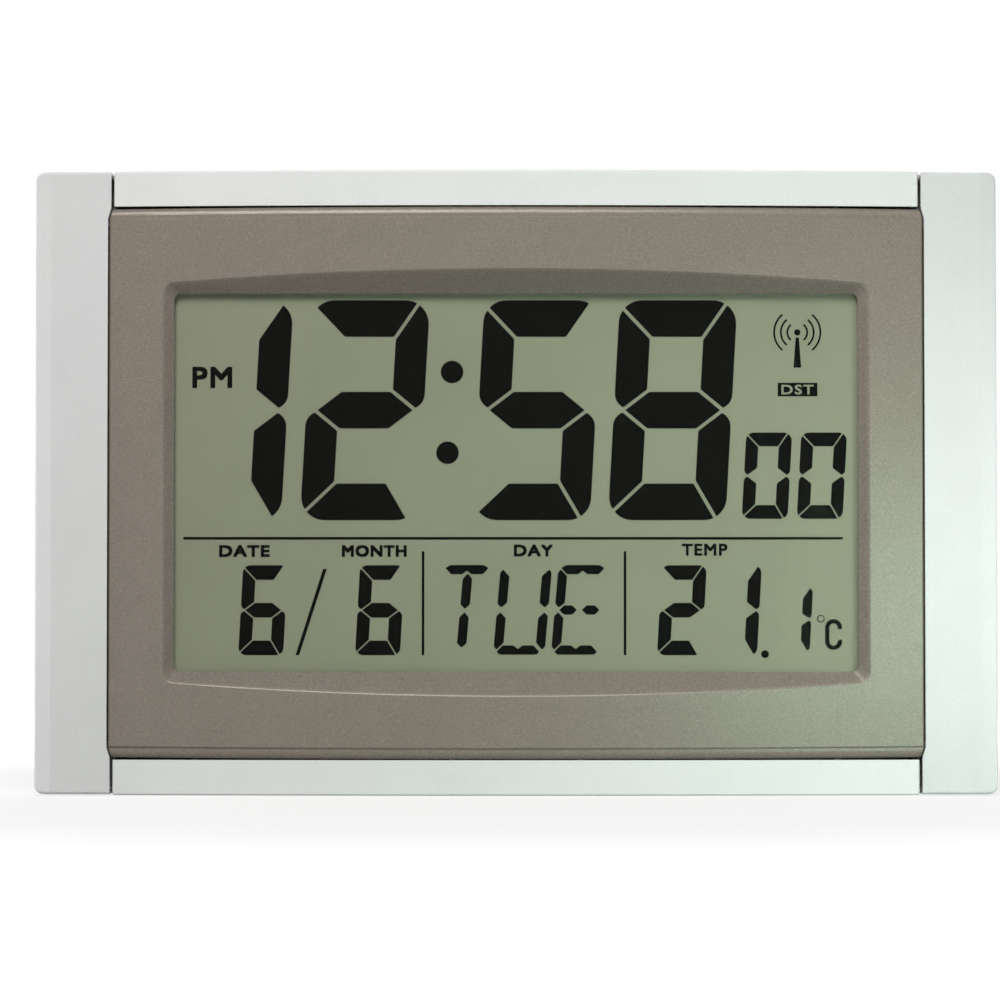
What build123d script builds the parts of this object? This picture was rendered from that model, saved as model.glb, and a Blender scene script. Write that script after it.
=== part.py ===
from build123d import *
import math
import os

# Digital desk clock with a large liquid-crystal display.
# Millimetres. X runs to the right as seen from the front, Y runs to the back, Z runs up.
# Depths are counted backwards from the crown of the bowed face.

# Display window and the borders around it
WINDOW_WIDTH = 263.3
WINDOW_HEIGHT = 145.7
WINDOW_CORNER = 2.7
SIDE_BORDER = 24.85
BAND_HEIGHT = 33.35
FRONT_RADIUS = 2200.0

# Silver trim
CAP_WIDTH = 27.9
CAP_NOTCH = 1.2
CAP_BEVEL = 6.2
CAP_BEVEL_DROP = 1.4
CAP_FLAT_DROP = 0.8
CAP_PROUD = 0.7
CAP_CORNER = 3.4
CAP_ROUND = 1.0
CAP_INSET = 0.45
CAP_EDGE = 1.2
RAIL_HEIGHT = 13.5
RAIL_SETBACK = 1.5
RAIL_ROUND = 0.8
RAIL_CORNER = 1.0
RAIL_WEB_SHARE = 0.32

# Shells
WALL = 2.0
SHOULDER_BAND = 4.0
SHOULDER_RADIUS = 2.8
FACE_STEP = 0.8
FACE_CHAMFER = 0.5
EDGE_BOW = 0.6
RECESS_DEPTH = 7.3
RECESS_SLOPE_SIDE = 1.35
RECESS_SLOPE_TOP = 1.26
RECESS_CORNER = 6.6
RECESS_RIM = 0.8
WINDOW_LIP = 1.1

# Gaps between pieces
SEAM = 0.3
SIDE_GAP = 0.6
RAIL_END_GAP = 0.9
SLIP = 0.2
TOUCH = 0.05

# Display stack
LENS_THICKNESS = 1.5
LENS_MARGIN = 3.2
LENS_GAP = 0.4
GLASS = 1.1
GLASS_MARGIN_SIDE = 5.5
GLASS_MARGIN_TOP = 7.4
GLASS_LEDGE = 6.0
FILM = 0.4
INK = 0.12
TRAY_WALL = 1.3
TRAY_RIM = 3.0
TAB_WIDTH = 14.0
TAB_REACH = 9.0
TAB_THICKNESS = 2.5
TAB_INSET = 40.35

# Display artwork, drawn about the middle of a window of this size
ART_WIDTH = 263.3
ART_HEIGHT = 145.7
SLANT = math.tan(math.radians(3.2))
LIT_BARS = {"0": "abcdef", "1": "bc", "2": "abged", "5": "afgcd", "6": "afgedc", "8": "abcdefg"}
LEFT_MITRE, RIGHT_MITRE = 1.0, 1.57
TIME_DIGIT = dict(w=45.4, h=84.9, bar=14.1, stem=12.4, gap=1.3, corner=9.0)
SECONDS_DIGIT = dict(w=17.7, h=33.3, bar=5.3, stem=4.9, gap=0.5, corner=3.2)
CALENDAR_DIGIT = dict(w=17.3, h=34.6, bar=5.6, stem=5.0, gap=0.5, corner=3.0)
TENTHS_DIGIT = dict(w=11.6, h=24.6, bar=3.8, stem=3.7, gap=0.6, corner=2.2)
TIME_BASE = -14.4
HOURS_LEFT = -136.0
HOURS_PITCH = 52.7
MINUTES_LEFT = -16.9
MINUTES_PITCH = 52.3
COLON_LEFT = -26.4
COLON_LOW = 11.6
COLON_RISE = 31.2
COLON_RADIUS = 4.35
SECONDS_BASE = -13.9
SECONDS_LEFT = 87.0
SMALL_PITCH = 21.2
CALENDAR_BASE = -66.4
DATE_LEFT = -107.0
MONTH_LEFT = -62.0
DEGREES_LEFT = 54.3
TENTHS_LEFT = 101.5
TENTHS_RISE = 1.5
POINT_LEFT = 95.9
POINT_RISE = 0.4
POINT_RADIUS = 1.5
SLASH_LEFT = -84.9
SLASH_WIDTH = 1.4
SLASH_RUN = 10.6
SLASH_RISE = 33.2
RULE = 1.0
DIVIDER_LEFT = -128.2
DIVIDER_RIGHT = 125.9
DIVIDER_BASE = -21.4
RULES_TOP = -26.4
FIRST_RULE = -35.8
SECOND_RULE = 42.0

# Boards
BOARD_REACH = 16.0
BOARD_HEIGHT = 42.0
BOARD_THICKNESS = 1.6
BOARD_INSET = 2.35
BOARD_STANDOFF = 2.8
BOARD_OVERLAP = 1.0
STANDOFF_RADIUS = 3.4
STRIP_LENGTH = 136.0
STRIP_THICKNESS = 3.0
STRIP_INSET = 1.6
RECEIVER_LENGTH = 28.0
RECEIVER_HEIGHT = 20.0
RECEIVER_THICKNESS = 1.2
RECEIVER_POST = 3.2
BOARD_CORNER = 1.2

# Components, placed from the middle of the board
BLOB_RADIUS = 8.0
BLOB_HEIGHT = 1.8
BLOB_EDGE = 1.2
BLOB_OFFSET = -50.0
CRYSTAL_RADIUS = 1.5
CRYSTAL_LENGTH = 8.0
CRYSTAL_OFFSET = -33.0
CRYSTAL_RISE = 8.0
CRYSTAL_FOOT = 1.2
CAPACITOR_RADIUS = 2.5
CAPACITOR_HEIGHT = 5.4
CAPACITOR_EDGE = 0.4
CAPACITOR_OFFSETS = [-8.0, 2.0]
BEAD_RADIUS = 2.0
BEAD_THICKNESS = 2.4
BEAD_LEG = 0.4
BEAD_LEG_SPREAD = 1.2
BEAD_LEG_LAP = 4.0
CHIP_RADIUS = 4.5
CHIP_HEIGHT = 1.4
CHIP_EDGE = 0.9

# Buttons and their switches
BUTTON_NAMES = ["set", "up", "down", "mode"]
BUTTON_ROW_MARGIN = 10.0
BUTTON_LENGTH = 10.0
BUTTON_WIDTH = 6.0
BUTTON_PROUD = 1.0
BUTTON_STEM = 0.8
BUTTON_FLANGE = 1.5
BUTTON_FLANGE_RIM = 1.2
BUTTON_TRAVEL = 0.5
BUTTON_EDGE = 0.5
SWITCH_SIZE = 6.0
SWITCH_BODY = 3.4
PLUNGER_RADIUS = 1.7
PLUNGER_PROUD = 1.6

# Rear cover
PLATEAU_WIDTH = 132.0
PLATEAU_TOP_MARGIN = 8.0
PLATEAU_CORNER = 6.0
CAP_REAR_STEP = 0.5
VENT_COUNT = 6
VENT_PITCH = 5.0
VENT_WIDTH = 2.0
VENT_LENGTH = 13.0
KEYHOLE_SPACING = 100.0
KEYHOLE_RADIUS = 4.5
KEYHOLE_SLOT = 4.6
KEYHOLE_RISE = 9.0
KEYHOLE_DROP = 26.0
KEYHOLE_DEPTH = 5.5
KEYHOLE_ROOM = 1.6
POCKET_WALL = 1.6

# Screws, all one size
SCREW_RADIUS = 1.45
SCREW_LENGTH = 12.0
SCREW_HEAD_RADIUS = 2.8
SCREW_HEAD = 2.0
SCREW_RECESS = 4.0
SCREW_SLOT = 0.7
POST_RADIUS = 4.7
BOSS_RADIUS = 3.6
SHORT_SCREW_LENGTH = 6.0

# Cells and their contacts
CELL_LENGTH = 50.5
CELL_RADIUS = 7.25
CELL_NUB_RADIUS = 2.7
CELL_NUB = 1.4
CELL_EDGE = 0.6
CELL_GAP = 0.6
CELL_PLAY = 0.3
POCKET_FLOOR_GAP = 1.0
SPRING_LENGTH = 7.0
SPRING_WIRE = 0.45
SPRING_WIDE = 4.6
SPRING_NARROW = 2.6
SPRING_TURNS = 3
CONTACT = 0.4
CONTACT_WIDTH = 10.0
CONTACT_TAB = 4.0
CONTACT_TAB_WIDTH = 3.0
LEAD_RADIUS = 0.7
LEAD_FAN = 6.0

# Battery door
DOOR_THICKNESS = 2.0
DOOR_MARGIN = 2.6
DOOR_GAP = 0.3
DOOR_LEDGE = 1.8
DOOR_TAB_WIDTH = 8.0
DOOR_TAB_REACH = 2.6
DOOR_TAB_THICKNESS = 1.2
DOOR_TAB_SPACING = 36.0
DOOR_CORNER = 1.0
GRIP_WIDTH = 16.0
GRIP_ROWS = 3
GRIP_PITCH = 2.4
GRIP_GROOVE = 1.2
GRIP_DEPTH = 0.6
GRIP_INSET = 3.0
POCKET_HEIGHT_ON_BACK = 150.0

# Desk stand
STAND_WIDTH = 62.0
STAND_TIP_WIDTH = 46.0
STAND_HINGE_HEIGHT = 100.0
STAND_LENGTH = 94.0
STAND_SKIN = 1.8
STAND_RIB = 1.8
STAND_HEIGHT = 5.3
STAND_OPEN_ANGLE = 30.0
STAND_GAP = 0.6
STAND_CORNER = 8.0
BARREL_RADIUS = 2.8
HINGE_PIN_RADIUS = 1.5
PIN_RUNNING = 0.05

# Antenna
ROD_END_GAP = 8.0
ROD_RADIUS = 4.5
COIL_SHARE = 0.35
COIL_RADIUS = 5.7
SADDLE_WIDTH = 5.0
SADDLE_INSET = 9.0

# Sizes that follow across the front
bezel_half = WINDOW_WIDTH / 2 + SIDE_BORDER
cap_inner = bezel_half + SIDE_GAP
cap_inner_at_rails = cap_inner - CAP_NOTCH
half_width = cap_inner + CAP_WIDTH
cap_crease = half_width - CAP_BEVEL
rail_half = cap_inner_at_rails - RAIL_END_GAP
rail_web_pitch = rail_half * RAIL_WEB_SHARE
rear_half = cap_inner_at_rails - SIDE_GAP
bezel_low = RAIL_HEIGHT + SEAM
height = WINDOW_HEIGHT + 2 * (BAND_HEIGHT + bezel_low)
bezel_high = height - bezel_low
middle = height / 2
glass_half = WINDOW_WIDTH / 2 + GLASS_MARGIN_SIDE
glass_low = middle - WINDOW_HEIGHT / 2 - GLASS_MARGIN_TOP
glass_high = height - glass_low
tray_half = glass_half + SLIP + TRAY_RIM
tray_low = glass_low - SLIP - TRAY_RIM
tray_high = height - tray_low
boss_x = bezel_half - WALL - BOSS_RADIUS - SEAM
rear_boss_rows = [bezel_low + WALL + POST_RADIUS, middle, bezel_high - WALL - POST_RADIUS]
tab_row = tray_low - TAB_REACH / 2
tab_pitch = tray_half - TAB_INSET
plateau_half = PLATEAU_WIDTH / 2

# Depths that follow, front to back
lens_front = RECESS_DEPTH + WINDOW_LIP
lens_back = lens_front + LENS_THICKNESS
glass_front = lens_back + LENS_GAP
front_glass_back = glass_front + GLASS
rear_glass_back = front_glass_back + GLASS
film_back = rear_glass_back + FILM
tray_back = film_back + TRAY_WALL
board_front = tray_back + BOARD_STANDOFF
board_back = board_front + BOARD_THICKNESS
parting = board_front + BOARD_OVERLAP
switch_back = board_back + SWITCH_BODY
plunger_back = switch_back + PLUNGER_PROUD
flange_front = plunger_back + BUTTON_STEM
flange_back = flange_front + BUTTON_FLANGE
flank_inner = flange_back + SLIP / 2
flank_outer = flank_inner + WALL
pocket_bottom = tray_back + POCKET_FLOOR_GAP
pocket_floor = pocket_bottom + POCKET_WALL
cell_depth = pocket_floor + CELL_PLAY + CELL_RADIUS
door_inner = cell_depth + CELL_RADIUS + CELL_PLAY + TOUCH * 2
depth = door_inner + DOOR_THICKNESS
plateau_inner = depth - WALL
screw_seat = flank_outer - SCREW_RECESS
cap_lead = FRONT_RADIUS - math.sqrt(FRONT_RADIUS**2 - bezel_half**2) - CAP_PROUD
cap_side = cap_lead + CAP_FLAT_DROP + CAP_BEVEL_DROP
cap_rear = flank_outer + CAP_REAR_STEP
cap_seat = cap_rear - SCREW_RECESS
cap_dimple = cap_seat - WALL
front_y = -depth / 2

# Battery pocket
pocket_half = (CELL_LENGTH + SPRING_LENGTH + 2 * CONTACT) / 2 + TOUCH
cell_rise = CELL_RADIUS + CELL_GAP / 2
pocket_rise = cell_rise + CELL_RADIUS + CELL_PLAY
pocket_low = POCKET_HEIGHT_ON_BACK - pocket_rise
pocket_high = POCKET_HEIGHT_ON_BACK + pocket_rise
door_half = pocket_half + DOOR_MARGIN
door_low = pocket_low - DOOR_MARGIN
door_high = pocket_high + DOOR_MARGIN
lead_start = pocket_half + POCKET_WALL + CONTACT_TAB

# Desk stand
stand_axis_depth = flank_outer + SLIP + BARREL_RADIUS
stand_back = flank_outer + SLIP + STAND_HEIGHT
stand_recess_half = STAND_WIDTH / 2 + STAND_GAP
heel_inset = stand_back - STAND_SKIN - stand_axis_depth
open_angle = math.radians(STAND_OPEN_ANGLE)
heel_drop = BARREL_RADIUS + SLIP - TOUCH
heel_rise = (heel_drop + heel_inset * math.cos(open_angle)) / math.sin(open_angle)
stand_recess_top = STAND_HINGE_HEIGHT + heel_rise + STAND_GAP + heel_inset

# Board places
board_low = glass_low + STRIP_INSET - BOARD_OVERLAP * 3
board_high = board_low + BOARD_HEIGHT
board_left = -plateau_half - BOARD_REACH
board_right = tray_half - BOARD_INSET
board_middle = (board_left + board_right) / 2
board_screw_inset = STANDOFF_RADIUS + SWITCH_SIZE / 2
button_height = (board_low + board_high) / 2
button_last = board_right - SWITCH_SIZE * 1.8
button_pitch = (button_last - plateau_half - BUTTON_ROW_MARGIN) / (len(BUTTON_NAMES) - 1)
button_places = [button_last - button_pitch * i for i in range(len(BUTTON_NAMES))]
sensor_x = board_left + SWITCH_SIZE
rod_left = plateau_half + ROD_END_GAP
rod_right = boss_x - POST_RADIUS - ROD_END_GAP
rod_middle = (rod_left + rod_right) / 2
coil_half = (rod_right - rod_left) * COIL_SHARE / 2
rod_depth = flank_inner - COIL_RADIUS - SEAM
rod_height = bezel_high - WALL - COIL_RADIUS - SEAM * 3


def at_depth(d):
    """Y of a depth counted back from the crown of the face."""
    return front_y + d


def front_plane(d):
    """A plane facing the viewer at a depth: sketch x runs along X, sketch y along Z."""
    return Plane(origin=(0, at_depth(d), 0), x_dir=(1, 0, 0), z_dir=(0, -1, 0))


def slab(sketch, d_front, d_back):
    """A sketch drawn as seen from the front, thick from one depth to another."""
    return extrude(front_plane(d_back) * sketch, d_back - d_front)


def rect(x0, x1, z0, z1, corner=0.0):
    shape = RectangleRounded(x1 - x0, z1 - z0, corner) if corner else Rectangle(x1 - x0, z1 - z0)
    return Pos((x0 + x1) / 2, (z0 + z1) / 2) * shape


def box(x0, x1, d0, d1, z0, z1):
    return slab(rect(x0, x1, z0, z1), d0, d1)


def disc(x, z, radius):
    return Pos(x, z) * Circle(radius)


def rod(x, z, radius, d0, d1):
    return slab(disc(x, z, radius), d0, d1)


def cross_bar(x0, x1, d, z, radius):
    """A round bar along X."""
    return extrude(Plane(origin=(x0, at_depth(d), z), z_dir=(1, 0, 0)) * Circle(radius), x1 - x0)


def sag(x, setback=0.0):
    """How far the bowed front falls back at a distance from the middle."""
    radius = FRONT_RADIUS - setback
    return radius - math.sqrt(radius**2 - x**2)


def bowed_block(setback, back, half, z0, z1):
    """A block whose front is bowed in plan, concentric with the face."""
    end = at_depth(setback + sag(half, setback))
    rear = at_depth(back)
    front = ThreePointArc((-half, end), (0, at_depth(setback)), (half, end))
    sides = Polyline((half, end), (half, rear), (-half, rear), (-half, end))
    return extrude(Pos(0, 0, z0) * make_face([front, sides]), z1 - z0, dir=(0, 0, 1))


def bowed_outline(half, low, high, notch=0.0, notch_height=0.0):
    """Front outline with slightly bowed top and bottom edges and slanted corners."""
    inner = half - notch
    top_end = high - EDGE_BOW
    low_end = low + EDGE_BOW
    top = ThreePointArc((-inner, top_end), (0, high), (inner, top_end))
    bottom = ThreePointArc((inner, low_end), (0, low), (-inner, low_end))
    if not notch:
        return make_face([top, Line(top @ 1, bottom @ 0), bottom, Line(bottom @ 1, top @ 0)])
    upper = top_end - notch_height
    lower = low_end + notch_height
    right = Polyline((inner, top_end), (half, upper), (half, lower), (inner, low_end))
    left = Polyline((-inner, low_end), (-half, lower), (-half, upper), (-inner, top_end))
    return make_face([top, right, bottom, left])


def window_rect(grow_side, grow_top, corner):
    return rect(
        -WINDOW_WIDTH / 2 - grow_side,
        WINDOW_WIDTH / 2 + grow_side,
        middle - WINDOW_HEIGHT / 2 - grow_top,
        middle + WINDOW_HEIGHT / 2 + grow_top,
        corner,
    )


def window_loft(d_back, d_front, grow):
    """A pyramid along the recess walls, grown outwards by a wall."""
    faces = []
    for d in (d_back, d_front):
        rise = RECESS_DEPTH - d
        share = max(rise, 0.0) / RECESS_DEPTH
        corner = WINDOW_CORNER + (RECESS_CORNER - WINDOW_CORNER) * share + grow / 2
        spread = (grow + rise * RECESS_SLOPE_SIDE, grow + rise * RECESS_SLOPE_TOP)
        faces.append(front_plane(d) * window_rect(spread[0], spread[1], corner))
    return loft(Sketch() + faces, ruled=True)


def front_bezel():
    """Bowed front moulding: shoulder bands, proud face, sloped display recess and bosses."""
    body = slab(bowed_outline(bezel_half, bezel_low, bezel_high), 0, parting)
    body &= bowed_block(FACE_STEP, parting, bezel_half, 0, height)
    front_limit = at_depth(FACE_STEP + sag(bezel_half, FACE_STEP)) + TOUCH
    shoulders = [e for e in body.edges() if e.length > 2 * bezel_half and e.center().Y < front_limit]
    body = fillet(shoulders, SHOULDER_RADIUS)
    body &= slab(bowed_outline(bezel_half, bezel_low, bezel_high, CAP_NOTCH, SHOULDER_BAND), 0, parting)
    face_low, face_high = bezel_low + SHOULDER_BAND, bezel_high - SHOULDER_BAND
    face = slab(bowed_outline(bezel_half, face_low, face_high), 0, parting)
    face &= bowed_block(0, parting, bezel_half, 0, height)
    front_limit = at_depth(sag(bezel_half)) + TOUCH
    rims = [e for e in face.edges() if e.length > WINDOW_HEIGHT and e.center().Y < front_limit]
    face = chamfer(rims, FACE_CHAMFER)
    solid = body + face
    inside_low, inside_high = bezel_low + WALL + EDGE_BOW, bezel_high - WALL - EDGE_BOW
    inside = bowed_block(FACE_STEP + WALL, parting + WALL, bezel_half - WALL, inside_low, inside_high)
    seat_wall = LENS_MARGIN + WALL
    seat_room = LENS_MARGIN + SLIP
    walls = window_loft(RECESS_DEPTH, 0, WALL)
    walls += slab(window_rect(seat_wall, seat_wall, WINDOW_CORNER + WALL), RECESS_DEPTH - WALL, lens_back)
    for x, z in bezel_screw_places():
        walls += rod(x, z, BOSS_RADIUS, 0, parting)
    for x, z in tab_places():
        walls += rod(x, z, BOSS_RADIUS, 0, tray_back - TAB_THICKNESS)
    bezel = (solid - inside) + (walls & solid)
    bezel -= window_loft(RECESS_DEPTH, -WALL, 0)
    bezel = fillet(recess_rim(bezel, face_low + SHOULDER_BAND, face_high - SHOULDER_BAND), RECESS_RIM)
    bezel -= slab(window_rect(0, 0, WINDOW_CORNER), RECESS_DEPTH - WALL, lens_back + WALL)
    bezel -= slab(window_rect(seat_room, seat_room, WINDOW_CORNER), lens_front, lens_back + WALL)
    for x, z in bezel_screw_places():
        bezel -= rod(x, z, SCREW_RADIUS + TOUCH, screw_seat - SCREW_LENGTH - SEAM, parting)
    for x, z in tab_places():
        bezel -= rod(x, z, SCREW_RADIUS + TOUCH, tray_back - SHORT_SCREW_LENGTH - SEAM, tray_back)
    tongues = tongue(parting - WALL, parting)
    return bezel + tongues - tongue_holes(parting - WALL, parting)


def recess_rim(bezel, low, high):
    """Edges where the recess walls meet the bowed face."""
    rim = []
    for edge in bezel.edges():
        place = edge.center()
        on_face = abs(place.Y - at_depth(sag(place.X))) < TOUCH
        if on_face and abs(place.X) < bezel_half - SIDE_BORDER / 2 and low < place.Z < high:
            rim.append(edge)
    return rim


def bezel_screw_places():
    return [(x, z) for x in (-boss_x, boss_x) for z in rear_boss_rows]


def tab_places():
    return [(x, z) for z in (tab_row, height - tab_row) for x in (-tab_pitch, 0, tab_pitch)]


def cap_screw_places():
    low = rear_boss_rows[0] + POST_RADIUS * 2
    x = cap_inner + CAP_WIDTH / 2
    return [(side * x, z) for side in (-1, 1) for z in (low, height - low)]


def tongue(d_front, d_back):
    """Side flanges that reach into the end caps."""
    low = rear_boss_rows[0]
    outer = half_width - WALL - SIDE_GAP * 2
    right = box(bezel_half - WALL * 2, outer, d_front, d_back, low, height - low)
    return right + mirror(right, about=Plane.YZ)


def tongue_holes(d_front, d_back):
    holes = [rod(x, z, SCREW_RADIUS + TOUCH, d_front, d_back) for x, z in cap_screw_places()]
    return Part() + holes


def rail_screw_places(z):
    return [(-2 * rail_web_pitch, z), (2 * rail_web_pitch, z)]


def top_rail():
    """Hollow trim rail with a bowed front, cross webs and screw bosses."""
    low = height - RAIL_HEIGHT
    rail = bowed_block(RAIL_SETBACK, parting, rail_half, low, height)
    tips = [e for e in rail.edges() if abs(e.center().X) > rail_half - TOUCH]
    rail = fillet([e for e in tips if e.center().Z > height - TOUCH], RAIL_CORNER)
    front_limit = at_depth(RAIL_SETBACK + sag(rail_half, RAIL_SETBACK)) + TOUCH
    fronts = [e for e in rail.edges() if e.bounding_box().max.Y < front_limit]
    rail = fillet([e for e in fronts if e.center().Z > low + TOUCH], RAIL_ROUND)
    rail -= bowed_block(RAIL_SETBACK + WALL, parting + WALL, rail_half - WALL, low - WALL, height - WALL)
    inside = bowed_block(RAIL_SETBACK + WALL / 2, parting, rail_half, low, height - WALL / 2)
    webs = Part()
    for step in (-2.5, -1.5, -0.5, 0.5, 1.5, 2.5):
        x = step * rail_web_pitch
        webs += box(x - WALL / 2, x + WALL / 2, 0, parting, low, height)
    for x, z in rail_screw_places(low + (RAIL_HEIGHT - WALL) / 2):
        webs += rod(x, z, BOSS_RADIUS, 0, parting)
        webs += box(x - WALL / 2, x + WALL / 2, 0, parting, z, height)
    rail += webs & inside
    for x, z in rail_screw_places(low + (RAIL_HEIGHT - WALL) / 2):
        rail -= rod(x, z, SCREW_RADIUS + TOUCH, screw_seat - SCREW_LENGTH - SEAM, parting)
    return rail


def cap_plan(inner):
    """Plan section of the right end cap: flat, outer bevel, side and rear."""
    front = [(inner, cap_lead), (cap_crease, cap_lead + CAP_FLAT_DROP), (half_width, cap_side)]
    rear = [(half_width, cap_rear - CAP_EDGE), (half_width - CAP_EDGE, cap_rear), (inner, cap_rear)]
    points = [(x, at_depth(d)) for x, d in front + rear]
    return make_face(Polyline(*points, close=True))


def right_end_cap():
    """Hollow end cap, open towards the middle, notched beside the wider face."""
    cap = extrude(cap_plan(cap_inner_at_rails), height, dir=(0, 0, 1))
    low, high = CAP_INSET, height - CAP_INSET
    top_end = bezel_high - EDGE_BOW
    kink = top_end - SHOULDER_BAND
    corner = CAP_CORNER
    far = half_width
    outline = FilletPolyline(
        (cap_inner_at_rails, low), (far, low), (far, high), (cap_inner_at_rails, high),
        (cap_inner_at_rails, top_end), (cap_inner, kink), (cap_inner, height - kink),
        (cap_inner_at_rails, height - top_end),
        radius=[0, corner, corner, 0, 0, 0, 0, 0],
        close=True,
    )
    cap &= slab(make_face(outline), 0, depth)
    fronts = [e for e in cap.edges() if e.bounding_box().max.Y < at_depth(cap_side) + TOUCH]
    outer = [e for e in fronts if e.center().X > cap_inner + TOUCH]
    cap = fillet([e for e in outer if abs(e.center().X - cap_crease) > TOUCH], CAP_ROUND)
    cavity = offset(cap_plan(cap_inner_at_rails - 2 * WALL), -WALL)
    cap -= extrude(Pos(0, 0, low + WALL) * cavity, high - low - 2 * WALL, dir=(0, 0, 1))
    for x, z in cap_screw_places():
        if x > 0:
            cap += rod(x, z, POST_RADIUS, cap_dimple, cap_rear)
            cap -= rod(x, z, SCREW_HEAD_RADIUS + SLIP, cap_seat, cap_rear)
            cap -= rod(x, z, SCREW_RADIUS + SLIP, cap_dimple, cap_seat)
    return cap


def display_window():
    return slab(window_rect(LENS_MARGIN, LENS_MARGIN, WINDOW_CORNER), lens_front, lens_back)


def lcd_front_glass():
    return box(-glass_half, glass_half, glass_front, front_glass_back, glass_low, glass_high)


def lcd_rear_glass():
    low = glass_low + GLASS_LEDGE
    return box(-glass_half, glass_half, front_glass_back, rear_glass_back, low, glass_high)


def lcd_reflector():
    low = glass_low + GLASS_LEDGE
    return box(-glass_half, glass_half, rear_glass_back, film_back, low, glass_high)


def segment_faces(lit, x, z, w, h, bar, stem, gap, corner):
    """Lit bars of one numeral in a round-cornered outline whose lower left corner is at x, z."""
    mid = h / 2
    half_bar = bar / 2
    tip = stem * 0.28
    waist = corner * 0.66
    mid_z = gap * 0.75
    mid_x = gap * 0.7
    loop_low = mid + mid_z + math.sqrt(waist**2 - (waist - tip) ** 2) - waist
    left_run = gap / 2 * math.hypot(1, LEFT_MITRE) / LEFT_MITRE
    right_run = gap / 2 * math.hypot(1, RIGHT_MITRE) / RIGHT_MITRE

    def leaning(points, flip_z):
        flipped = [(px, h - pz if flip_z else pz) for px, pz in points]
        return [(x + px + SLANT * pz, z + pz) for px, pz in flipped]

    def loop(flip_z):
        points = [(0, h), (w, h), (w, loop_low), (0, loop_low)]
        radii = [corner, corner, waist, waist]
        return make_face(FilletPolyline(*leaning(points, flip_z), radius=radii, close=True))

    def side(flip_x):
        slope, run = (RIGHT_MITRE, right_run) if flip_x else (LEFT_MITRE, left_run)
        shoulder = h - bar - run * slope
        points = [
            (0, shoulder + stem * slope), (stem, shoulder), (stem, mid + half_bar + mid_z),
            (0, mid + mid_z - tip * half_bar / (stem - tip)),
        ]
        return [(w - px if flip_x else px, pz) for px, pz in points]

    top = [
        (stem + left_run - bar / LEFT_MITRE, h), (w - stem - right_run + bar / RIGHT_MITRE, h),
        (w - stem - right_run, h - bar), (stem + left_run, h - bar),
    ]
    middle_bar = [
        (tip + mid_x, mid), (stem + mid_x, mid + half_bar), (w - stem - mid_x, mid + half_bar),
        (w - tip - mid_x, mid), (w - stem - mid_x, mid - half_bar), (stem + mid_x, mid - half_bar),
    ]
    outer_bars = {
        "a": (top, False), "f": (side(False), False), "b": (side(True), False),
        "d": (top, True), "e": (side(False), True), "c": (side(True), True),
    }
    faces = []
    for name in lit:
        if name == "g":
            faces.append(make_face(Polyline(*leaning(middle_bar, False), close=True)))
        else:
            points, low = outer_bars[name]
            faces.append(make_face(Polyline(*leaning(points, low), close=True)) & loop(low))
    return faces


def numerals(text, left, pitch, base, digit):
    """Lit bars of a row of numerals."""
    faces = []
    for i, character in enumerate(text):
        faces += segment_faces(LIT_BARS[character], left + pitch * i, base, **digit)
    return faces


def art_solids(faces):
    """Artwork drawn about the window's middle, fitted to the window and laid on the glass."""
    fit = (WINDOW_WIDTH / ART_WIDTH, WINDOW_HEIGHT / ART_HEIGHT)
    fitted = [scale(face, by=(fit[0], fit[1], 1)) if fit != (1, 1) else face for face in faces]
    solids = [slab(Pos(0, middle) * face, glass_front - INK, glass_front) for face in fitted]
    return Compound(children=[s for part in solids for s in part.solids()])


def lcd_time_segments():
    """Hours, minutes, colon and seconds."""
    faces = numerals("12", HOURS_LEFT, HOURS_PITCH, TIME_BASE, TIME_DIGIT)
    faces += numerals("58", MINUTES_LEFT, MINUTES_PITCH, TIME_BASE, TIME_DIGIT)
    faces += numerals("00", SECONDS_LEFT, SMALL_PITCH, SECONDS_BASE, SECONDS_DIGIT)
    for rise in (0, COLON_RISE):
        faces.append(disc(COLON_LEFT + SLANT * rise, COLON_LOW + rise, COLON_RADIUS))
    return art_solids(faces)


def lcd_calendar_segments():
    """Date, month and temperature with the rules between them."""
    base = CALENDAR_BASE
    faces = numerals("6", DATE_LEFT, SMALL_PITCH, base, CALENDAR_DIGIT)
    faces += numerals("6", MONTH_LEFT, SMALL_PITCH, base, CALENDAR_DIGIT)
    faces += numerals("21", DEGREES_LEFT, SMALL_PITCH, base, CALENDAR_DIGIT)
    faces += numerals("1", TENTHS_LEFT, SMALL_PITCH, base + TENTHS_RISE, TENTHS_DIGIT)
    faces.append(disc(POINT_LEFT, base + POINT_RISE, POINT_RADIUS))
    foot = [(SLASH_LEFT, base), (SLASH_LEFT + SLASH_WIDTH, base)]
    head = [(x + SLASH_RUN, base + SLASH_RISE) for x, z in reversed(foot)]
    faces.append(make_face(Polyline(*foot, *head, close=True)))
    faces.append(rect(DIVIDER_LEFT, DIVIDER_RIGHT, DIVIDER_BASE - RULE / 2, DIVIDER_BASE + RULE / 2))
    for x in (FIRST_RULE, SECOND_RULE):
        faces.append(rect(x - RULE / 2, x + RULE / 2, base, RULES_TOP))
    return art_solids(faces)


def board_screw_places():
    left = board_left + board_screw_inset
    right = board_right - board_screw_inset
    low = board_low + STRIP_THICKNESS + board_screw_inset
    return [(x, z) for x in (left, right) for z in (low, board_high - board_screw_inset)]


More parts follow.
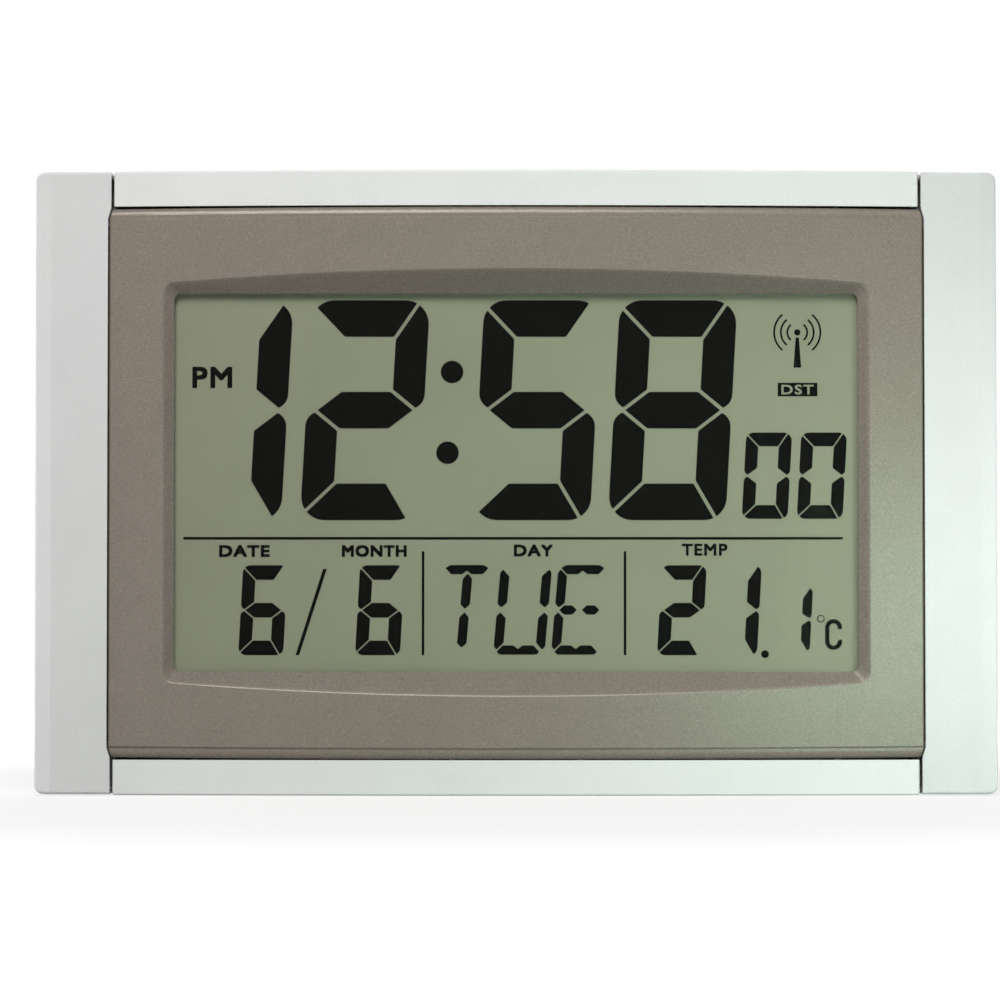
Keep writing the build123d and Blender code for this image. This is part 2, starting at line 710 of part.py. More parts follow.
def lcd_tray():
    """Shallow tray behind the display, with screw tabs, board stand-offs and the strip's slot."""
    tray = slab(rect(-tray_half, tray_half, tray_low, tray_high, TRAY_RIM), glass_front, tray_back)
    room = rect(-glass_half - SLIP, glass_half + SLIP, glass_low - SLIP, glass_high + SLIP)
    tray -= slab(room, glass_front, film_back)
    for x, z in tab_places():
        inward = TAB_REACH / 2 if z < middle else -TAB_REACH / 2
        ends = sorted((z - inward, z + inward * 1.4))
        tray += box(x - TAB_WIDTH / 2, x + TAB_WIDTH / 2, tray_back - TAB_THICKNESS, tray_back, *ends)
    for x, z in board_screw_places():
        tray += rod(x, z, STANDOFF_RADIUS, tray_back, board_front)
    for x, z in tab_places():
        tray -= rod(x, z, SCREW_RADIUS + SLIP, tray_back - TAB_THICKNESS, tray_back)
    for x, z in board_screw_places():
        tray -= rod(x, z, SCREW_RADIUS + TOUCH, film_back, board_front)
    strip_low = glass_low + STRIP_INSET - SLIP
    return tray - box(
        -STRIP_LENGTH / 2 - SLIP, STRIP_LENGTH / 2 + SLIP, film_back, tray_back,
        strip_low, strip_low + STRIP_THICKNESS + 2 * SLIP,
    )


def contact_strip():
    low = glass_low + STRIP_INSET
    half = STRIP_LENGTH / 2
    return box(-half, half, front_glass_back, board_front, low, low + STRIP_THICKNESS)


def main_board():
    board = slab(rect(board_left, board_right, board_low, board_high, BOARD_CORNER), board_front, board_back)
    for x, z in board_screw_places():
        board -= rod(x, z, SCREW_RADIUS + SLIP, board_front, board_back)
    return board


def controller_blob():
    blob = rod(board_middle + BLOB_OFFSET, button_height, BLOB_RADIUS, board_back, board_back + BLOB_HEIGHT)
    return fillet(blob.edges().sort_by(Axis.Y)[-1], BLOB_EDGE)


def timing_crystal():
    """Round can lying on the board in a bead of glue."""
    left = board_middle + CRYSTAL_OFFSET
    right = left + CRYSTAL_LENGTH
    z = button_height + CRYSTAL_RISE
    axis_depth = board_back + CRYSTAL_RADIUS + TOUCH
    half = CRYSTAL_FOOT / 2
    can = cross_bar(left, right, axis_depth, z, CRYSTAL_RADIUS)
    return can + box(left, right, board_back, axis_depth - half, z - half, z + half)


def capacitors():
    cans = []
    for offset_x in CAPACITOR_OFFSETS:
        x = board_middle + offset_x
        can = rod(x, button_height, CAPACITOR_RADIUS, board_back, board_back + CAPACITOR_HEIGHT)
        cans += fillet(can.edges().sort_by(Axis.Y)[-1], CAPACITOR_EDGE).solids()
    return Compound(children=cans)


def switch_housings():
    """Push-switch bodies, each with the bore its plunger slides in."""
    half = SWITCH_SIZE / 2
    bore = PLUNGER_RADIUS + TOUCH
    solids = []
    for x in button_places:
        body = box(x - half, x + half, board_back, switch_back, button_height - half, button_height + half)
        body -= rod(x, button_height, bore, switch_back - PLUNGER_PROUD - 2 * BUTTON_TRAVEL, switch_back)
        solids += body.solids()
    return Compound(children=solids)


def plunger(x):
    return rod(x, button_height, PLUNGER_RADIUS, switch_back - PLUNGER_PROUD, plunger_back)


def button_outline(x, grow):
    return Pos(x, button_height) * RectangleRounded(
        BUTTON_WIDTH + 2 * grow, BUTTON_LENGTH + 2 * grow, BUTTON_WIDTH / 2 + grow - TOUCH
    )


def button(x):
    """Rear button: proud cap, retaining flange and the stem that meets the plunger."""
    cap = slab(button_outline(x, 0), flange_back, flank_outer + BUTTON_PROUD)
    cap = fillet(cap.faces().sort_by(Axis.Y)[-1].edges(), BUTTON_EDGE)
    cap += slab(button_outline(x, BUTTON_FLANGE_RIM), flange_front, flange_back)
    return cap + rod(x, button_height, PLUNGER_RADIUS, plunger_back, flange_front)


def temperature_sensor():
    """Flat bead on two legs below the board, behind the vents."""
    bead_z = board_low - VENT_LENGTH / 2
    bead_depth = board_back + BEAD_LEG
    half = BEAD_THICKNESS / 2
    sensor = rod(sensor_x, bead_z, BEAD_RADIUS, bead_depth - half, bead_depth + half)
    for side in (-1, 1):
        foot = Pos(sensor_x + side * BEAD_LEG_SPREAD, at_depth(bead_depth), bead_z)
        sensor += extrude(foot * Circle(BEAD_LEG), board_low + BEAD_LEG_LAP - bead_z)
    return sensor


def receiver_place():
    low = height - tray_low - RECEIVER_HEIGHT - TAB_REACH * 2
    left = rod_middle - RECEIVER_LENGTH / 2
    return left, left + RECEIVER_LENGTH, low, low + RECEIVER_HEIGHT


def receiver_board():
    left, right, low, high = receiver_place()
    back = flank_inner - RECEIVER_POST
    return slab(rect(left, right, low, high, BOARD_CORNER), back - RECEIVER_THICKNESS, back)


def receiver_chip():
    left, right, low, high = receiver_place()
    front = flank_inner - RECEIVER_POST - RECEIVER_THICKNESS
    x, z = (left + right) / 2, (low + high) / 2
    chip = rod(x, z, CHIP_RADIUS, front - CHIP_HEIGHT, front)
    return fillet(chip.edges().sort_by(Axis.Y)[0], CHIP_EDGE)


def ferrite_rod():
    return cross_bar(rod_left, rod_right, rod_depth, rod_height, ROD_RADIUS)


def antenna_coil():
    left, right = rod_middle - coil_half, rod_middle + coil_half
    bore = cross_bar(left, right, rod_depth, rod_height, ROD_RADIUS + TOUCH)
    return cross_bar(left, right, rod_depth, rod_height, COIL_RADIUS) - bore


def saddles():
    """Two clips on the rear wall that hold the rod."""
    posts = Part()
    for x in (rod_left + SADDLE_INSET, rod_right - SADDLE_INSET):
        left, right = x - SADDLE_WIDTH / 2, x + SADDLE_WIDTH / 2
        rise = ROD_RADIUS + WALL
        mouth = ROD_RADIUS * 0.9
        front = rod_depth - ROD_RADIUS * 0.3
        posts += box(left, right, front, flank_inner, rod_height - rise, rod_height + rise)
        posts -= cross_bar(left, right, rod_depth, rod_height, ROD_RADIUS + TOUCH)
        posts -= box(left, right, front, rod_depth, rod_height - mouth, rod_height + mouth)
    return posts


def contact_outline_depths():
    return cell_depth - CONTACT_WIDTH / 2, cell_depth + CONTACT_WIDTH / 2


def cell_axis(upper):
    return POCKET_HEIGHT_ON_BACK + (cell_rise if upper else -cell_rise)


def cell(upper):
    """A cylindrical cell with its button end, standing against its flat contact."""
    side = 1 if upper else -1
    end = pocket_half - TOUCH - CONTACT
    z = cell_axis(upper)
    can_ends = sorted((side * (end - CELL_NUB), side * (end - CELL_LENGTH)))
    nub_ends = sorted((side * end, side * (end - CELL_NUB - WALL)))
    can = cross_bar(*can_ends, cell_depth, z, CELL_RADIUS)
    can = fillet(can.edges().filter_by(GeomType.CIRCLE), CELL_EDGE)
    return can + cross_bar(*nub_ends, cell_depth, z, CELL_NUB_RADIUS)


def end_plate(side, z_low, z_high):
    inner, outer = pocket_half - TOUCH - CONTACT, pocket_half - TOUCH
    front, back = contact_outline_depths()
    return box(*sorted((side * inner, side * outer)), front, back, z_low, z_high)


def solder_tab(z):
    inner = pocket_half - TOUCH - CONTACT
    outer = pocket_half + POCKET_WALL + CONTACT_TAB
    half = CONTACT_TAB_WIDTH / 2
    return box(inner, outer, cell_depth - CONTACT / 2, cell_depth + CONTACT / 2, z - half, z + half)


def link_contact():
    return end_plate(-1, cell_axis(False) - CONTACT_WIDTH / 2, cell_axis(True) + CONTACT_WIDTH / 2)


def end_contact(upper):
    z = cell_axis(upper)
    return end_plate(1, z - CONTACT_WIDTH / 2, z + CONTACT_WIDTH / 2) + solder_tab(z)


def biarc(p0, t0, p1, t1):
    """Two tangent arcs between two points with given directions."""
    v, t = p1 - p0, t0 + t1
    turn = 2 * (1 - t0.dot(t1))
    reach = (-v.dot(t) + math.sqrt(v.dot(t) ** 2 + turn * v.dot(v))) / turn
    q0, q1 = p0 + t0 * reach, p1 - t1 * reach
    joint = (q0 + q1) * 0.5
    return [Edge.make_tangent_arc(p0, t0, joint), Edge.make_tangent_arc(joint, (q1 - q0).normalized(), p1)]


def cell_spring(upper):
    """Conical coil between the end plate and the cell's flat end."""
    side = -1 if upper else 1
    start = pocket_half - TOUCH - CONTACT - SPRING_WIRE - TOUCH
    run = SPRING_LENGTH - 2 * SPRING_WIRE - 2 * TOUCH
    z = cell_axis(upper)
    steps = SPRING_TURNS * 4

    def point(i):
        angle = i * math.pi / 2
        share = i / steps
        radius = SPRING_WIDE + (SPRING_NARROW - SPRING_WIDE) * share
        x = side * (start - run * share)
        return Vector(x, at_depth(cell_depth + radius * math.cos(angle)), z + radius * math.sin(angle))

    def heading(i):
        small = 0.01
        return (point(i + small) - point(i - small)).normalized()

    edges = []
    for i in range(steps):
        edges += biarc(point(i), heading(i), point(i + 1), heading(i + 1))
    path = Wire(edges)
    profile = Plane(origin=point(0), z_dir=heading(0)) * Circle(SPRING_WIRE)
    return sweep(profile, path=path)


def cell_springs():
    return Compound(children=[s for upper in (True, False) for s in cell_spring(upper).solids()])


def lead(points, radii):
    """An insulated wire along straight runs joined by arcs."""
    placed = [(x, at_depth(d), z) for x, d, z in points]
    path = FilletPolyline(*placed, radius=radii)
    profile = Plane(origin=path @ 0, z_dir=path % 0) * Circle(LEAD_RADIUS)
    return sweep(profile, path=path)


def battery_lead(upper):
    z = cell_axis(upper)
    column = lead_start + (2 if upper else 1) * LEAD_FAN
    landing = board_high - board_screw_inset
    return lead(
        [
            (lead_start, cell_depth, z),
            (column, cell_depth, z),
            (column, board_back + LEAD_FAN, landing),
            (column, board_back, landing),
        ],
        [LEAD_FAN * 0.6, LEAD_FAN * 0.45],
    )


def receiver_leads():
    """Three wires from the receiver down to the main board."""
    left, right, low, high = receiver_place()
    back = flank_inner - RECEIVER_POST
    front = back - RECEIVER_THICKNESS
    wires = []
    for step in (0, 1, 2):
        x = left + LEAD_FAN + step * LEAD_FAN / 2
        landing = board_high - LEAD_FAN / 2
        wire = lead(
            [
                (x, front, low + LEAD_FAN / 2),
                (x, front - LEAD_FAN / 2, low + LEAD_FAN / 2),
                (x, board_back + LEAD_FAN / 2, landing),
                (x, board_back, landing),
            ],
            [LEAD_FAN * 0.2, LEAD_FAN * 0.2],
        )
        wires += wire.solids()
    return Compound(children=wires)


def rear_screw_places():
    """Places of the screws through the rear wall: bezel and rails."""
    rail_row = height - RAIL_HEIGHT + (RAIL_HEIGHT - WALL) / 2
    rails = rail_screw_places(rail_row) + rail_screw_places(height - rail_row)
    return bezel_screw_places() + rails


def screw(x, z, seat, length):
    """Pan-head screw driven from the back."""
    head = rod(x, z, SCREW_HEAD_RADIUS, seat, seat + SCREW_HEAD)
    head = chamfer(head.edges().sort_by(Axis.Y)[-1], SCREW_HEAD * 0.3)
    arm = SCREW_HEAD_RADIUS * 0.6
    half = SCREW_SLOT / 2
    for wide, tall in ((arm, half), (half, arm)):
        head -= box(x - wide, x + wide, seat + SCREW_HEAD / 2, seat + SCREW_HEAD, z - tall, z + tall)
    return head + rod(x, z, SCREW_RADIUS, seat - length, seat)


def screw_group(places, seat, length):
    return [s for x, z in places for s in screw(x, z, seat, length).solids()]


def rear_screws():
    solids = screw_group(rear_screw_places(), screw_seat, SCREW_LENGTH)
    return Compound(children=solids + screw_group(cap_screw_places(), cap_seat, SCREW_LENGTH))


def tray_screws():
    return Compound(children=screw_group(tab_places(), tray_back, SHORT_SCREW_LENGTH))


def board_screws():
    return Compound(children=screw_group(board_screw_places(), board_back, board_back - film_back - SEAM))


def keyhole(x):
    """Round entry with a slot rising from it, and the room behind for the screw head."""
    z = height - KEYHOLE_DROP
    entry = disc(x, z, KEYHOLE_RADIUS)
    neck = rect(x - KEYHOLE_SLOT / 2, x + KEYHOLE_SLOT / 2, z, z + KEYHOLE_RISE)
    tip = disc(x, z + KEYHOLE_RISE, KEYHOLE_SLOT / 2)
    return slab(entry + neck + tip, plateau_inner, depth)


def keyhole_room(x, grow):
    """Room behind a keyhole, grown by its wall when that is wanted."""
    z = height - KEYHOLE_DROP
    reach = KEYHOLE_RADIUS + KEYHOLE_ROOM + grow
    return box(
        x - reach, x + reach, plateau_inner - KEYHOLE_DEPTH - grow, plateau_inner,
        z - reach, z + KEYHOLE_RISE + reach,
    )


def rear_cover():
    """Tray-like back with the raised plateau, battery pocket, stand recess, posts and vents."""
    plateau_top = height - PLATEAU_TOP_MARGIN
    cover = box(-rear_half, rear_half, parting, flank_outer, 0, height)
    cover = chamfer(cover.faces().sort_by(Axis.Y)[-1].edges(), CAP_EDGE)
    cover += slab(rect(-plateau_half, plateau_half, 0, plateau_top), parting, depth)
    upright = [e for e in cover.edges().filter_by(Axis.Y) if abs(e.center().X) < plateau_half + TOUCH]
    cover = fillet([e for e in upright if e.center().Z > plateau_top - TOUCH], PLATEAU_CORNER)
    cover = chamfer(cover.faces().sort_by(Axis.Y)[-1].edges(), CAP_EDGE)
    cover -= box(-rear_half + WALL, rear_half - WALL, parting, flank_inner, WALL, height - WALL)
    recess_outer = stand_recess_half + WALL
    hollow = slab(
        rect(-plateau_half + WALL, plateau_half - WALL, WALL, plateau_top - WALL, PLATEAU_CORNER - WALL),
        flank_inner, plateau_inner,
    )
    hollow -= box(-recess_outer, recess_outer, flank_inner, depth, 0, stand_recess_top + WALL)
    cover -= hollow
    cover -= box(-stand_recess_half, stand_recess_half, flank_outer, depth, 0, stand_recess_top)
    pocket = box(
        -pocket_half - POCKET_WALL, pocket_half + POCKET_WALL, pocket_bottom, plateau_inner,
        pocket_low - POCKET_WALL, pocket_high + POCKET_WALL,
    )
    rim = DOOR_GAP + POCKET_WALL
    ledge = rect(-door_half - rim, door_half + rim, door_low - rim, door_high + rim)
    cover += pocket + slab(ledge, door_inner - DOOR_LEDGE, door_inner)
    cover -= box(-pocket_half, pocket_half, pocket_floor, depth, pocket_low, pocket_high)
    mouth_half = door_half + DOOR_GAP
    cover -= box(-mouth_half, mouth_half, door_inner, depth, door_low - DOOR_GAP, door_high + DOOR_GAP)
    for side in (-1, 1):
        x = side * DOOR_TAB_SPACING / 2
        half = DOOR_TAB_WIDTH / 2 + DOOR_GAP
        room_front = door_inner - DOOR_LEDGE - DOOR_TAB_REACH
        room_high = door_high + DOOR_TAB_REACH + DOOR_GAP * 3
        cover -= box(x - half, x + half, room_front, door_inner, pocket_high, room_high)
    for upper in (True, False):
        z = cell_axis(upper)
        half = CONTACT_TAB_WIDTH / 2 + SLIP
        thick = CONTACT / 2 + SLIP
        outer = pocket_half + POCKET_WALL
        cover -= box(pocket_half, outer, cell_depth - thick, cell_depth + thick, z - half, z + half)
    for side in (-1, 1):
        x = side * KEYHOLE_SPACING / 2
        cover += keyhole_room(x, POCKET_WALL)
        cover -= keyhole_room(x, 0)
        cover -= keyhole(x)
    post_limit = box(-rear_half, rear_half, parting, flank_outer, 0, height)
    for x, z in rear_screw_places():
        cover += rod(x, z, POST_RADIUS, parting, flank_outer) & post_limit
        cover -= rod(x, z, SCREW_HEAD_RADIUS + SLIP, screw_seat, flank_outer)
        cover -= rod(x, z, SCREW_RADIUS + SLIP, parting, screw_seat)
    for x in button_places:
        cover -= slab(button_outline(x, SLIP), flank_inner, flank_outer)
    for i in range(VENT_COUNT):
        left = sensor_x - VENT_PITCH * (i - 1) - VENT_WIDTH / 2
        vent = rect(left, left + VENT_WIDTH, board_low - VENT_LENGTH, board_low, VENT_WIDTH * 0.45)
        cover -= slab(vent, flank_inner, flank_outer)
    left, right, low, high = receiver_place()
    for x in (left + POST_RADIUS / 2, right - POST_RADIUS / 2):
        cover += rod(x, (low + high) / 2, POST_RADIUS / 2, flank_inner - RECEIVER_POST, flank_inner)
    cover += saddles()
    cover += tongue(parting, parting + WALL) - box(-rear_half + WALL, rear_half - WALL, 0, depth, 0, height)
    for x, z in cap_screw_places():
        cover += rod(x, z, BOSS_RADIUS, parting, cap_dimple)
    cover -= tongue_holes(parting, cap_dimple)
    pin_hole = HINGE_PIN_RADIUS + PIN_RUNNING / 2
    reach = stand_recess_half + WALL
    return cover - cross_bar(-reach, reach, stand_axis_depth, STAND_HINGE_HEIGHT, pin_hole)


def battery_door():
    """Flush door with two hinge tabs at its top edge and a ribbed grip at its lower edge."""
    door = slab(rect(-door_half, door_half, door_low, door_high, DOOR_CORNER), door_inner, depth)
    tab_low = door_high - DOOR_MARGIN + DOOR_GAP
    for side in (-1, 1):
        x = side * DOOR_TAB_SPACING / 2
        half = DOOR_TAB_WIDTH / 2
        tab_back = door_inner - SLIP
        tab_front = tab_back - DOOR_TAB_THICKNESS
        door += box(x - half, x + half, tab_front, tab_back, tab_low, door_high + DOOR_TAB_REACH)
        door += box(x - half, x + half, tab_back, door_inner, tab_low, door_high)
    half = GRIP_WIDTH / 2
    for row in range(GRIP_ROWS):
        z = door_low + GRIP_INSET + row * GRIP_PITCH
        door -= box(-half, half, depth - GRIP_DEPTH, depth, z, z + GRIP_GROOVE)
    return door


def desk_stand():
    """Easel leg: thin skin with a rim of ribs, a hinge barrel and a heel that stops the swing."""
    top, tip = STAND_HINGE_HEIGHT, STAND_HINGE_HEIGHT - STAND_LENGTH
    half, tip_half = STAND_WIDTH / 2, STAND_TIP_WIDTH / 2
    rib_front = flank_outer + SLIP + STAND_GAP
    points = [(-half, top), (half, top), (tip_half, tip), (-tip_half, tip)]
    outline = make_face(FilletPolyline(*points, radius=[0, 0, STAND_CORNER, STAND_CORNER], close=True))
    leg = slab(outline, rib_front, stand_back)
    leg -= slab(offset(outline, -STAND_RIB), rib_front, stand_back - STAND_SKIN)
    for x in (-tip_half / 2, tip_half / 2):
        left, right = x - STAND_RIB / 2, x + STAND_RIB / 2
        leg += box(left, right, rib_front, stand_back - STAND_SKIN / 2, tip + STAND_RIB / 2, top)
    leg += cross_bar(-half, half, stand_axis_depth, top, BARREL_RADIUS)
    leg += box(-half, half, stand_axis_depth + heel_inset, stand_back, top - BARREL_RADIUS, top + heel_rise)
    return leg - cross_bar(-half, half, stand_axis_depth, top, HINGE_PIN_RADIUS + PIN_RUNNING)


def stand_pin():
    reach = stand_recess_half + WALL - SLIP
    return cross_bar(-reach, reach, stand_axis_depth, STAND_HINGE_HEIGHT, HINGE_PIN_RADIUS)


def all_parts():
    rail = top_rail()
    cap = right_end_cap()
    parts = {
        "front_bezel": front_bezel(),
        "top_rail": rail,
        "bottom_rail": mirror(rail, about=Plane.XY.offset(middle)),
        "right_end_cap": cap,
        "left_end_cap": mirror(cap, about=Plane.YZ),
        "display_window": display_window(),
        "lcd_front_glass": lcd_front_glass(),
        "lcd_rear_glass": lcd_rear_glass(),
        "lcd_reflector": lcd_reflector(),
        "lcd_time_segments": lcd_time_segments(),
        "lcd_calendar_segments": lcd_calendar_segments(),
        "lcd_tray": lcd_tray(),
        "tray_screws": tray_screws(),
        "contact_strip": contact_strip(),
        "main_board": main_board(),
        "board_screws": board_screws(),
        "controller_blob": controller_blob(),
        "timing_crystal": timing_crystal(),
        "capacitors": capacitors(),
        "switch_housings": switch_housings(),
        "temperature_sensor": temperature_sensor(),
        "receiver_board": receiver_board(),
        "receiver_chip": receiver_chip(),
        "receiver_leads": receiver_leads(),
        "ferrite_rod": ferrite_rod(),
        "antenna_coil": antenna_coil(),
        "rear_cover": rear_cover(),
        "rear_screws": rear_screws(),
        "battery_door": battery_door(),
        "upper_cell": cell(True),
        "lower_cell": cell(False),
        "cell_springs": cell_springs(),
        "link_contact": link_contact(),
        "positive_contact": end_contact(True),
        "negative_contact": end_contact(False),
        "red_lead": battery_lead(True),
        "black_lead": battery_lead(False),
        "desk_stand": desk_stand(),
        "stand_pin": stand_pin(),
    }
    for name, x in zip(BUTTON_NAMES, button_places):
        parts[name + "_plunger"] = plunger(x)
        parts[name + "_button"] = button(x)
    return parts


def main():
    os.makedirs("parts", exist_ok=True)
    for name, shape in all_parts().items():
        export_step(shape, f"parts/{name}.step")


main()
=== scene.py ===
import math

import bmesh
import bpy
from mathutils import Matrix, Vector


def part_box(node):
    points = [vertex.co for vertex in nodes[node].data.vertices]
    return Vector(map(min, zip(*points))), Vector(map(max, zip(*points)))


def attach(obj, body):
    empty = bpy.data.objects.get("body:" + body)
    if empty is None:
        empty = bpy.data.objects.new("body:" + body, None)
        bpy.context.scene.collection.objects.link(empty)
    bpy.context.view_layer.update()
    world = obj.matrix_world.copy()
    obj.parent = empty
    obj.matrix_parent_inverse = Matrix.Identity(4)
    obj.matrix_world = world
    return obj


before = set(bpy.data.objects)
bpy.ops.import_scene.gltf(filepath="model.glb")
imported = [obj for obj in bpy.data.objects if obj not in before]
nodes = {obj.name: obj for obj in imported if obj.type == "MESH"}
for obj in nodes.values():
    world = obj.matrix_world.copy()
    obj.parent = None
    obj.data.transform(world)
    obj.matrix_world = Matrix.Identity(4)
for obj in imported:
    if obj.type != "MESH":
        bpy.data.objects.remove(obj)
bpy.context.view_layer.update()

MERGE_DISTANCE = 1e-6

# The ink of the lit bars, from front to back
INK_FRONT, INK_BACK = (corner.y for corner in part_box("lcd_time_segments"))
INK_THICKNESS = INK_BACK - INK_FRONT

# Words on the display: text, left edge, foot, width, height and weight added to the strokes, in metres
LABEL_FOOT = 0.0914
LABEL_HEIGHT = 0.0046
WORDS = {
    "afternoon_word": ("PM", -0.1249, 0.1566, 0.0154, 0.0082, 0.00034),
    "date_word": ("DATE", -0.1144, LABEL_FOOT, 0.0195, LABEL_HEIGHT, 0.00028),
    "month_word": ("MONTH", -0.0671, LABEL_FOOT, 0.0250, LABEL_HEIGHT, 0.00028),
    "day_word": ("DAY", -0.0008, LABEL_FOOT + 0.0002, 0.0151, LABEL_HEIGHT, 0.00025),
    "temperature_word": ("TEMP", 0.0639, LABEL_FOOT + 0.0005, 0.0176, LABEL_HEIGHT, 0.0002),
}
LETTER_SPACING = 1.12
LETTER_CURVE_STEPS = 3
TAB_LETTER_WEIGHT = 0.00012

# The weekday's letters: the step of their grid and their foot in metres, and how far they lean
GRID = 0.000385
WEEKDAY_FOOT = 0.0538
WEEKDAY_LEAN = 0.088

# The bowed face in metres: its radius, how far above and below its middle the shoulder bands start,
# and how far behind the face the painted shade on the walls of the recess begins and is whole
FACE_BOW = 2.2
SHOULDER_START = 0.092
RIM_DEPTH, WALL_DEPTH = 0.0002, 0.0011

# The view in metres: the point that the camera faces, how far in front of it the camera stands,
# its upward pitch, and the width of the picture at that point
VIEW_AIM = Vector((-0.00616, -0.0087, 0.1133))
VIEW_REACH = 1.4013
VIEW_PITCH = math.radians(1.74)
VIEW_WIDTH = 0.385
SENSOR_WIDTH = 36.0

# The floor and the room: the floor's size and level, how much light it throws back on the clock, how much
# of the light and shadow on it shows, how bright it glows near the clock, the distances between which it
# turns white, and the light of the room
FLOOR_SIZE = 12
FLOOR_LEVEL = -0.0002
FLOOR_BOUNCE = 0.45
FLOOR_SHADE = 0.26
FLOOR_NEAR_GLOW = 0.71
FLOOR_FADE = (0.2, 0.6)
ROOM_LIGHT = 0.03


# Shader sockets that can be used in plain arithmetic
class Wire:
    def __init__(self, socket):
        self.socket = socket
        self.tree = socket.id_data

    def node(self, kind, settings, inputs, output=0):
        """Adds a node, makes its settings and fills its sockets with numbers, colours or other wires."""
        made = self.tree.nodes.new(kind)
        for name, value in settings.items():
            setattr(made, name, value)
        for name, value in inputs.items():
            if isinstance(value, Wire):
                self.tree.links.new(value.socket, made.inputs[name])
            else:
                made.inputs[name].default_value = value
        return Wire(made.outputs[output])

    def maths(self, operation, first, second):
        return self.node("ShaderNodeMath", {"operation": operation}, {0: first, 1: second})

    def __add__(self, other):
        return self.maths("ADD", self, other)

    def __radd__(self, other):
        return self.maths("ADD", other, self)

    def __sub__(self, other):
        return self.maths("SUBTRACT", self, other)

    def __rsub__(self, other):
        return self.maths("SUBTRACT", other, self)

    def __mul__(self, other):
        return self.maths("MULTIPLY", self, other)

    def __rmul__(self, other):
        return self.maths("MULTIPLY", other, self)

    def __gt__(self, other):
        return self.maths("GREATER_THAN", self, other)

    def __lt__(self, other):
        return self.maths("LESS_THAN", self, other)

    def along(self, axis):
        """One axis of these coordinates."""
        return self.node("ShaderNodeSeparateXYZ", {}, {"Vector": self}, axis)

    def ramp(self, low, high):
        """Nought below the low value, one above the high value, and smooth between them."""
        return self.node(
            "ShaderNodeMapRange",
            {"interpolation_type": "SMOOTHSTEP"},
            {"Value": self, "From Min": low, "From Max": high},
        )

    def mix(self, below, above):
        """One colour where this wire is nought and another where it is one."""
        return self.node("ShaderNodeMix", {"data_type": "RGBA"}, {0: self, 6: below, 7: above}, 2)

    def noise(self, size, detail=2.0, rough=0.5):
        """Cloudy grain of about this size in metres, laid over these coordinates."""
        return self.node(
            "ShaderNodeTexNoise",
            {},
            {"Vector": self, "Scale": 1 / size, "Detail": detail, "Roughness": rough},
        )

    def flakes(self, size):
        """A random number for each flake of about this size in metres."""
        colour = self.node(
            "ShaderNodeTexVoronoi", {"feature": "F1"}, {"Vector": self, "Scale": 1 / size}, "Color"
        )
        return colour.node("ShaderNodeSeparateColor", {}, {"Color": colour}, "Red")

    def bump(self, strength, depth):
        """Relief of this depth in metres."""
        return self.node(
            "ShaderNodeBump", {}, {"Height": self, "Strength": strength, "Distance": depth}, "Normal"
        )


def srgb(red, green, blue):
    """A colour as it is read off a screen, turned into light."""
    def light(part):
        part /= 255
        return part / 12.92 if part <= 0.04045 else ((part + 0.055) / 1.055) ** 2.4
    return (light(red), light(green), light(blue), 1.0)


def grey(level):
    return (level, level, level, 1.0)


def fresh_finish(name):
    """A new material: its place on the piece, its surface shader and itself."""
    material = bpy.data.materials.new(name)
    material.use_nodes = True
    surface = material.node_tree.nodes["Principled BSDF"]
    coordinates = material.node_tree.nodes.new("ShaderNodeTexCoord")
    return Wire(coordinates.outputs["Object"]), surface, material


def feed(surface, **sockets):
    """Sets or links the surface shader's sockets, named with an underscore for each space."""
    for name, value in sockets.items():
        socket = surface.inputs[name.replace("_", " ")]
        if isinstance(value, Wire):
            surface.id_data.links.new(value.socket, socket)
        else:
            socket.default_value = value


# Finishes of the case
def recess_painted_shade_mask(place):
    """Mask of the painted shade: one on the walls of the display recess and nought on the bowed face
    around it.
    """
    x, y, z = (place.along(axis) for axis in "XYZ")
    low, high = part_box("front_bezel")
    behind_face = y - low.y - x * x * (0.5 / FACE_BOW)
    height = z - (low.z + high.z) / 2
    off_middle = place.node("ShaderNodeMath", {"operation": "ABSOLUTE"}, {0: height})
    return behind_face.ramp(RIM_DEPTH, WALL_DEPTH) * (off_middle < SHOULDER_START)


def taupe_paint():
    """Warm grey metallic paint with a fine sparkle, and painted shade that darkens the walls of the
    recess.
    """
    painted_shade_share, sparkle_share = 0.21, 0.09
    place, surface, material = fresh_finish("taupe_paint")
    grain = place.noise(0.0006, detail=2.0, rough=0.7)
    cloud = place.noise(0.012, detail=3.0)
    sparkle = place.flakes(0.0006).ramp(0.3, 1.0)
    paint = (grain * 0.8 + cloud * 0.2).ramp(0.2, 0.8).mix(srgb(122, 113, 104), srgb(139, 129, 119))
    # Painted shade: the walls of the recess are darkened towards a deep brown-grey to stand for the shade
    # in the recess
    paint_with_painted_shade = (recess_painted_shade_mask(place) * painted_shade_share).mix(paint, srgb(40, 37, 33))
    feed(
        surface,
        Base_Color=(sparkle * sparkle_share).mix(paint_with_painted_shade, srgb(180, 174, 165)),
        Metallic=0.08,
        Roughness=0.24 + grain * 0.06,
        Specular_IOR_Level=0.25,
        Normal=grain.bump(strength=0.1, depth=0.0002),
    )
    return material


def silver_paint(name, dark, pale):
    """Pale silver paint in two close shades, smoother than the face."""
    place, surface, material = fresh_finish(name)
    grain = place.noise(0.0006, detail=2.0, rough=0.6)
    cloud = place.noise(0.02, detail=2.0)
    feed(
        surface,
        Base_Color=(grain * 0.7 + cloud * 0.3).ramp(0.25, 0.75).mix(dark, pale),
        Metallic=0.0,
        Specular_IOR_Level=0.3,
        Roughness=0.46 + grain * 0.06,
        Normal=grain.bump(strength=0.06, depth=0.0002),
    )
    return material


def clear_acrylic():
    """Clear window with a faint film of handling on it."""
    place, surface, material = fresh_finish("clear_acrylic")
    smear = place.noise(0.03, detail=4.0, rough=0.6).ramp(0.45, 0.75)
    feed(surface, Base_Color=srgb(28, 30, 27), Roughness=0.05 + smear * 0.08, Alpha=0.02)
    return material


